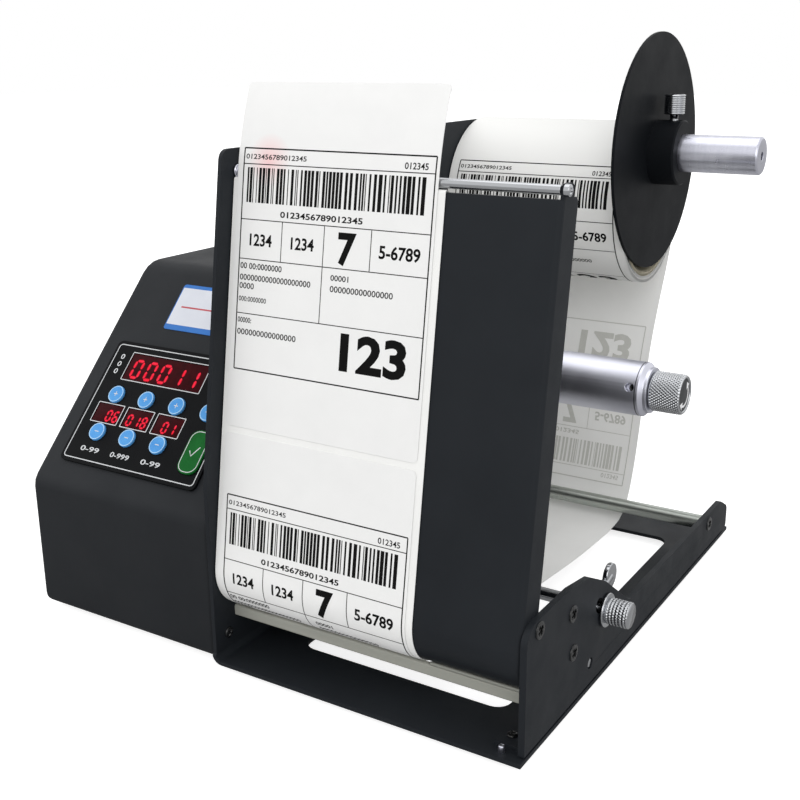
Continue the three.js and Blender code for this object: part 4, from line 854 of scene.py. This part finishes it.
def screw(name, centre, axis, radius, height, look, crown=DOMED, around=48, rings=12):
    """A head in rings from its middle outwards, with a last ring down at its seat."""
    axis = Vector(axis).normalized()
    side = axis.orthogonal().normalized()
    up = axis.cross(side)
    turns = [2 * math.pi * k / around for k in range(around)]
    points, faces = [], []
    for i in range(rings + 1):
        r = radius * i / rings
        for a in turns:
            x, y = r * math.cos(a), r * math.sin(a)
            h = height * math.sqrt(1 - crown * (r / radius) ** 2)
            near, far = sorted((abs(x), abs(y)))
            if near < radius * RECESS_HALF and far < radius * RECESS_REACH:
                h -= height * RECESS_DEPTH
            points.append((x, y, h))
    points += [(radius * math.cos(a), radius * math.sin(a), SEAT) for a in turns]
    for i in range(rings + 1):
        for k in range(around):
            m = (k + 1) % around
            faces.append((i * around + k, (i + 1) * around + k, (i + 1) * around + m, i * around + m))
    base = at(*centre)
    placed = [base + (side * x + up * y + axis * h) / PER_METRE for x, y, h in points]
    return piece(name, placed, faces, look, smooth=True)


def on_wall(u, v, h):
    """A point on the wall's outer face: u along Y, v up, h out of it."""
    return at(WALL_OUT + h, u, v)


WALL_SCREWS = ((14.7, 58.0), (47.5, 50.3), (49.5, 31.1), (237.2, 20.7))
CROSS_TURN, CROSS_REACH, CROSS_LINE, CROSS_LIFT = 0.35, 2.3, 1.0, 0.74
for i, (y, z) in enumerate(WALL_SCREWS, 1):
    screw(f"wall_screw_{i}", (WALL_OUT, y, z), (1, 0, 0), 3.7, 0.7, "screw", FLAT)
    # Dark strokes over the head's cross recess: painted shade
    cross = Art()
    for a in (CROSS_TURN, CROSS_TURN + math.pi / 2):
        du, dv = CROSS_REACH * math.cos(a), CROSS_REACH * math.sin(a)
        cross.stroke([(y - du, z - dv), (y + du, z + dv)], CROSS_LINE)
    cross.lay(f"wall_screw_cross_shade_{i}", on_wall, CROSS_LIFT, "dark", "black_sheet")
screw("plate_screw", (0, 10, 15), (1, 0, 0), 2.6, 1.5, "screw")
screw("peel_rod_screw_right", (155.0, PEEL_Y, PEEL_Z), (1, 0, 0), 2.4, 2.6, "chrome", 0.5)
screw("peel_rod_screw_left", (-2.0, PEEL_Y, PEEL_Z), (-1, 0, 0), 2.9, 2.2, "chrome")
for place, y in (("front", 15.0), ("rear", 256.0)):
    screw(f"angle_screw_{place}", (147.0, y, 6.5), (0, 0, 1), 2.3, 1.4, "screw")
    screw(f"angle_screw_side_{place}", (153.5, y, 15.0), (-1, 0, 0), 2.3, 1.4, "screw")


# Turned pieces: rows of points round an axis, knurled where the real ones are
def about_x(x0, y, z):
    return lambda along, r, angle: at(x0 + along, y + r * math.cos(angle), z + r * math.sin(angle))


def about_z(x, y, z0):
    return lambda along, r, angle: at(x + r * math.cos(angle), y + r * math.sin(angle), z0 + along)


def turned(name, rows, place, look, body="machine", node=None):
    """A body from rows of (along, radius) pairs, one pair for each point of a full turn."""
    count = len(rows[0])
    points, faces = [], []
    for i, row in enumerate(rows):
        points += [place(along, radius, 2 * math.pi * k / count) for k, (along, radius) in enumerate(row)]
        if not i:
            continue
        for k in range(count):
            m = (k + 1) % count
            faces.append(((i - 1) * count + k, (i - 1) * count + m, i * count + m, i * count + k))
    obj = piece(name, points, faces, look, body, smooth=True)
    if node:
        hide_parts(node)
    return obj


def plain_rows(profile, count=64):
    return [[station] * count for station in profile]


# Radius of the ends of a turned body, which come nearly to a point
NIB = 0.01


def knurl_rows(length, radius, teeth, depth, pitch, chamfer, around=8, grooves=0.0, groove_pitch=1.0):
    """Crossed knurl between chamfered ends, with ring grooves where grooves is their depth."""
    count = teeth * around
    stations = int(length / pitch * around)
    rows = [[(0.0, NIB)] * count]
    for i in range(stations + 1):
        x = length * i / stations
        end = min(x, length - x)
        base = radius - max(0.0, chamfer - end)
        base -= grooves * max(0.0, math.cos(2 * math.pi * x / groove_pitch)) ** 3 * min(1.0, end / chamfer)
        row = []
        for k in range(count):
            turn = k / around
            a = abs(((turn + x / pitch) % 1) - 0.5) * 2
            b = abs(((turn - x / pitch) % 1) - 0.5) * 2
            row.append((x, base - depth * (1 - min(a, b)) * min(1.0, end / chamfer)))
        rows.append(row)
    return rows


# A dark disc in the take-up knob's end recess, which is painted shade, and the two-headed arrow on it, a
# painted highlight
KNOB_RECESS_R = 7.7
KNOB_RECESS_IN = 0.9
SHADE_DISC_T = 0.4
SHADE_DISC_SEAT = 0.02
TURN_R = 5.3
HEAD_HALF, HEAD_REACH = 1.9, 3.2


def takeup_knob():
    """The knurled knob, a dark disc sunk in its end as painted shade, and a white two-headed arrow on the
    disc as painted highlight.
    """
    y, z = TAKE_KNOB.middle.y, TAKE_KNOB.middle.z
    end = TAKE_KNOB.high.x - TAKE_KNOB.low.x
    grip = knurl_rows(end, TAKE_KNOB.radius, teeth=40, depth=0.75, pitch=2.0, chamfer=0.8)
    grip += plain_rows([(end, KNOB_RECESS_R + 0.3), (end - 0.25, KNOB_RECESS_R), (end - KNOB_RECESS_IN, KNOB_RECESS_R),
                        (end - KNOB_RECESS_IN, NIB)], len(grip[0]))
    turned("takeup_knob_grip", grip, about_x(TAKE_KNOB.low.x, y, z), "chrome", "takeup_nut",
           "takeup_knob")
    base = TAKE_KNOB.high.x - KNOB_RECESS_IN + SHADE_DISC_SEAT
    # Painted shade: a dark disc laid in the end recess
    disc = [(0.0, NIB), (0.0, KNOB_RECESS_R - 0.15), (0.25, KNOB_RECESS_R - 0.15), (SHADE_DISC_T, KNOB_RECESS_R - 0.5), (SHADE_DISC_T, NIB)]
    turned("takeup_knob_shade_disc", plain_rows(disc), about_x(base, y, z), "knob_shade", "takeup_nut")
    # Painted highlight: white strokes in the shape of a two-headed arrow, where highlight streaks fall
    arrow = Art()
    sweep = [math.radians(-114 + 5 * k) for k in range(30)]
    arrow.stroke([(TURN_R * math.cos(a), TURN_R * math.sin(a)) for a in sweep], 1.1)
    for tip, way in ((sweep[0], -1), (sweep[-1], 1)):
        out = Vector((math.cos(tip), math.sin(tip)))
        ahead = Vector((-out.y, out.x)) * way
        corners = (out * (TURN_R + HEAD_HALF), out * TURN_R + ahead * HEAD_REACH, out * (TURN_R - HEAD_HALF))
        arrow.polygon([tuple(corner) for corner in corners])
    arrow.lay("takeup_knob_highlight_arrow", lambda u, v, h: at(base + SHADE_DISC_T + h, y + u, z + v), INK_LIFT, "mark",
              "panel_film", "takeup_nut")


WASHER = 1.4
WASHER_EASE = 0.3
WASHER_LAP = 0.1
GRIP_R = 6.2


def edge_knob():
    """The edge guide's knurled knob and its washer."""
    y, z = EDGE_KNOB.middle.y, EDGE_KNOB.middle.z
    start = EDGE_KNOB.low.x + WASHER - WASHER_LAP
    length = EDGE_KNOB.high.x - start
    grip = knurl_rows(length, GRIP_R, teeth=30, depth=0.35, pitch=2.6, chamfer=0.6, grooves=0.35,
                      groove_pitch=1.6)
    grip.append([(length, NIB)] * len(grip[0]))
    turned("edge_knob_grip", grip, about_x(start, y, z), "chrome", "guide_nut", "edge_knob")
    rim = EDGE_KNOB.radius
    profile = [(0.0, NIB), (0.0, rim - WASHER_EASE), (WASHER_EASE, rim), (WASHER - WASHER_EASE, rim),
               (WASHER, rim - WASHER_EASE), (WASHER, NIB)]
    turned("edge_knob_washer", plain_rows(profile), about_x(EDGE_KNOB.low.x, y, z), "chrome",
           "guide_nut")


NECK_R, NECK_L = 2.2, 3.0
STEM_R = 2.5
HEAD_L = 10.5
RINGS = 8
RING_STEPS = 6


def flange_thumb_screw():
    """The flange's thumb screw: a stem, a thinner neck and a head with ring grooves."""
    top = FLANGE_SCREW.high.z - FLANGE_SCREW.low.z
    under = top - HEAD_L
    head_r = (FLANGE_SCREW.high.x - FLANGE_SCREW.low.x) / 2
    profile = [(0.0, NIB), (0.0, STEM_R), (under - NECK_L, STEM_R), (under - NECK_L, NECK_R), (under, NECK_R),
               (under, head_r - 0.6), (under + 0.5, head_r)]
    for i in range(RINGS * RING_STEPS + 1):
        share = i / (RINGS * RING_STEPS)
        groove = 0.5 * math.sin(math.pi * RINGS * share) ** 2
        profile.append((under + 0.6 + (HEAD_L - 1.4) * share, head_r - groove))
    profile += [(top - 0.5, head_r), (top, head_r - 0.7), (top, NIB)]
    place = about_z(FLANGE_SCREW.middle.x, FLANGE_SCREW.middle.y, FLANGE_SCREW.low.z)
    turned("flange_thumb_screw", plain_rows(profile), place, "chrome", "flange_thumb",
           "flange_screw")


takeup_knob()
edge_knob()
flange_thumb_screw()

# A bright pin in the wall's hole, a clip on the peel rod and a plated stud in the base's front corner
PIN_Y, PIN_Z, PIN_R = 69.2, 16.2, 2.4
CLIP_X = 0.3
STUD = (147.3, 4.5, 5.02)
turned("wall_pin", plain_rows([(-2.2, NIB), (-2.2, PIN_R), (-0.7, PIN_R), (-0.3, PIN_R - 0.7),
                               (-0.3, NIB)], 32),
       about_x(WALL_OUT, PIN_Y, PIN_Z), "chrome")
turned("peel_rod_clip", plain_rows([(0.0, NIB), (0.0, 2.9), (0.7, 2.9), (0.8, 2.35), (1.1, 2.35), (1.2, 2.9),
                                    (1.9, 2.7), (1.9, NIB)], 32),
       about_x(CLIP_X, PEEL_Y, PEEL_Z), "alloy")
turned("base_stud", plain_rows([(0.0, NIB), (0.0, 1.4), (2.6, 1.4), (3.0, 1.0), (3.0, NIB)], 24),
       about_z(*STUD), "alloy")

# Grub screw low in the spindle's threaded hole: how far in from the end it lies, and its turn above level
GRUB_IN = 5.6
GRUB_RISE = math.radians(16)


def in_hole(along, radius, angle):
    out = Vector((0, -math.cos(GRUB_RISE), math.sin(GRUB_RISE)))
    over = Vector((0, math.sin(GRUB_RISE), math.cos(GRUB_RISE)))
    side = Vector((1, 0, 0)) * math.cos(angle) + over * math.sin(angle)
    axle = Vector((SPINDLE.high.x - GRUB_IN, SPINDLE.middle.y, SPINDLE.middle.z))
    return at(*(axle + out * along + side * radius))


turned("grub_screw", plain_rows([(9.6, NIB), (9.6, 1.9), (11.2, 1.9), (11.5, 1.6), (11.1, 0.95), (10.1, 0.85),
                                 (10.1, NIB)], 32), in_hole, "screw", "takeup")


# The bar's own upper edge right of the labels, where it comes up to the tower
LIP = ((15.45, 26.8), (17.6, 26.8), (17.6, 27.7), (15.45, 28.7))
LIP_LEFT, LIP_RIGHT = 107.4, 154.6
lip = [at(x, y, z) for x in (LIP_LEFT, LIP_RIGHT) for y, z in LIP]
sides = [(k, k + 4, (k + 1) % 4 + 4, (k + 1) % 4) for k in range(4)]
piece("guide_bar_lip", lip, [(0, 1, 2, 3), (7, 6, 5, 4), *sides], "flatbar", smooth=True)


# The liner turns over the tower's own top edge, under the rod
TOWER_EDGE_Z = 224.6
TOWER_SHEET = 1.5
TURN_DROP = 0.35
TURN_FROM_Z = 180.0
NEAR_ROD = 0.15
NEAR_FACE = 2.0


def liner_sheet():
    """The web of the CAD with its turn moved from round the rod to round the tower's edge."""
    lean = math.tan(LEAN)
    front = PEEL_Y - PEEL.radius / math.cos(LEAN)
    centre = Vector((0, TOWER_EDGE_Z - TURN_DROP))
    centre.x = front + (centre.y - PEEL_Z) * lean + TOWER_SHEET / 2 / math.cos(LEAN)
    rod = Vector((PEEL_Y, PEEL_Z))
    less = PEEL.radius - TOWER_SHEET / 2
    reach = PEEL.radius + CLEARANCE + LINER_T + NEAR_ROD
    share = (centre.y - TURN_FROM_Z) / (PEEL_Z - TURN_FROM_Z)
    points = []
    for vertex in NODES["liner_web"].data.vertices:
        spot = vertex.co * PER_METRE - ORIGIN
        away = Vector((spot.y, spot.z)) - rod
        if away.length < reach:
            spot.y, spot.z = centre + away * ((away.length - less) / away.length)
        elif spot.z > TURN_FROM_Z and abs(spot.y - front - (spot.z - PEEL_Z) * lean) < NEAR_FACE:
            z = TURN_FROM_Z + (spot.z - TURN_FROM_Z) * share
            spot.y += (z - spot.z) * lean
            spot.z = z
        points.append(at(*spot))
    faces = [tuple(polygon.vertices) for polygon in NODES["liner_web"].data.polygons]
    sheet = piece("liner_sheet", points, faces, "liner", smooth=True)
    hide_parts("liner_web")


liner_sheet()


# Floor, light and camera
AMBIENT = 0.82
FLOOR_SIZE = 6.0
FLOOR_GREY, FLOOR_GLOSSY_LESS = 0.6, -0.3
GLOW_GLOSSY = 0.2
GLOW_NEAR, GLOW_FAR = 0.8, 1.0
FADE_FROM, FADE_TO = 0.3, 1.2


def floor_material():
    """White to the camera, a little greyer near the machine, and darker to glossy rays."""
    material = bpy.data.materials.new("floor_white")
    material.use_nodes = True
    graph = Graph(material.node_tree)
    graph.tree.nodes.clear()
    rays = graph.add("ShaderNodeLightPath").outputs
    diffuse = graph.add("ShaderNodeBsdfDiffuse")
    grey = graph.math("MULTIPLY_ADD", rays["Is Glossy Ray"], FLOOR_GLOSSY_LESS, FLOOR_GREY)
    graph.link(grey, diffuse.inputs["Color"])
    seen = graph.math("MULTIPLY_ADD", rays["Is Glossy Ray"], GLOW_GLOSSY, rays["Is Camera Ray"])
    away = graph.add("ShaderNodeVectorMath", operation="LENGTH")
    graph.link(graph.add("ShaderNodeTexCoord").outputs["Object"], away.inputs[0])
    fade = graph.spread(away.outputs["Value"], GLOW_NEAR, GLOW_FAR, FADE_FROM, FADE_TO)
    glow = graph.add("ShaderNodeEmission")
    graph.link(graph.math("MULTIPLY", seen, fade), glow.inputs["Strength"])
    both = graph.add("ShaderNodeAddShader")
    graph.link(diffuse.outputs[0], both.inputs[0])
    graph.link(glow.outputs[0], both.inputs[1])
    graph.link(both.outputs[0], graph.add("ShaderNodeOutputMaterial").inputs["Surface"])
    return material


def lay_floor():
    s = FLOOR_SIZE
    mesh = bpy.data.meshes.new("floor")
    mesh.from_pydata([(-s, -s, 0), (s, -s, 0), (s, s, 0), (-s, s, 0)], [], [(0, 1, 2, 3)])
    mesh.materials.append(floor_material())
    floor = bpy.data.objects.new("floor", mesh)
    bpy.context.scene.collection.objects.link(floor)


def light_world():
    """White to the camera and in reflections, and a little less as light on dull faces."""
    world = bpy.data.worlds.new("studio")
    bpy.context.scene.world = world
    world.use_nodes = True
    graph = Graph(world.node_tree)
    graph.tree.nodes.clear()
    rays = graph.add("ShaderNodeLightPath").outputs
    mix = graph.add("ShaderNodeMixShader")
    graph.link(graph.math("MAXIMUM", rays["Is Camera Ray"], rays["Is Glossy Ray"]), mix.inputs[0])
    for socket, strength in ((mix.inputs[1], AMBIENT), (mix.inputs[2], 1.0)):
        background = graph.add("ShaderNodeBackground")
        background.inputs["Color"].default_value = (1, 1, 1, 1)
        background.inputs["Strength"].default_value = strength
        graph.link(background.outputs[0], socket)
    graph.link(mix.outputs[0], graph.add("ShaderNodeOutputWorld").inputs["Surface"])


TARGET = Vector((0, 0, 0.1))


def lamp(name, place, width, height, power):
    data = bpy.data.lights.new(name, "AREA")
    data.shape = "RECTANGLE"
    data.size = width
    data.size_y = height
    data.energy = power
    obj = bpy.data.objects.new(name, data)
    bpy.context.scene.collection.objects.link(obj)
    place = Vector(place)
    turn = (TARGET - place).to_track_quat("-Z", "Y").to_matrix().to_4x4()
    obj.matrix_world = Matrix.Translation(place) @ turn


lay_floor()
light_world()
lamp("soft_front", (0.9, -2.2, 1.5), 2.0, 1.6, 14)
lamp("soft_top", (-0.2, 0.2, 2.2), 2.0, 2.0, 12)
lamp("soft_right", (2.4, -0.9, 0.9), 1.4, 1.6, 7)
lamp("soft_left", (-2.2, -0.8, 1.2), 1.2, 1.6, 6)

# The camera as it was solved: angles in radians, place in the layout's millimetres, lengths in picture points
PHOTO = 800
SENSOR = 36.0
FOCAL_PX = 1142.54446
AZIMUTH, ELEVATION, BANK = 0.56136, 0.29375, -0.01009
CAMERA = (327.30647, -355.93617, 278.80805)
CENTRE_X, CENTRE_Y = 0.28007, -7.73742


def photo_camera():
    right = Vector((math.cos(AZIMUTH), math.sin(AZIMUTH), 0))
    down = math.cos(ELEVATION)
    look = Vector((-math.sin(AZIMUTH) * down, math.cos(AZIMUTH) * down, -math.sin(ELEVATION)))
    rise = math.sin(ELEVATION)
    up = Vector((-math.sin(AZIMUTH) * rise, math.cos(AZIMUTH) * rise, down))
    c, s = math.cos(BANK), math.sin(BANK)
    x_axis = right * c + up * s
    y_axis = up * c - right * s
    data = bpy.data.cameras.new("photo_view")
    data.sensor_fit = "HORIZONTAL"
    data.sensor_width = SENSOR
    data.lens = FOCAL_PX / PHOTO * SENSOR
    data.shift_x = -CENTRE_X / PHOTO
    data.shift_y = CENTRE_Y / PHOTO
    data.clip_start = 0.01
    obj = bpy.data.objects.new("photo_view", data)
    bpy.context.scene.collection.objects.link(obj)
    turn = Matrix((x_axis, y_axis, -look)).transposed().to_4x4()
    obj.matrix_world = Matrix.Translation(at(*CAMERA)) @ turn
    bpy.context.scene.camera = obj


photo_camera()
bpy.context.scene.view_settings.view_transform = "Standard"
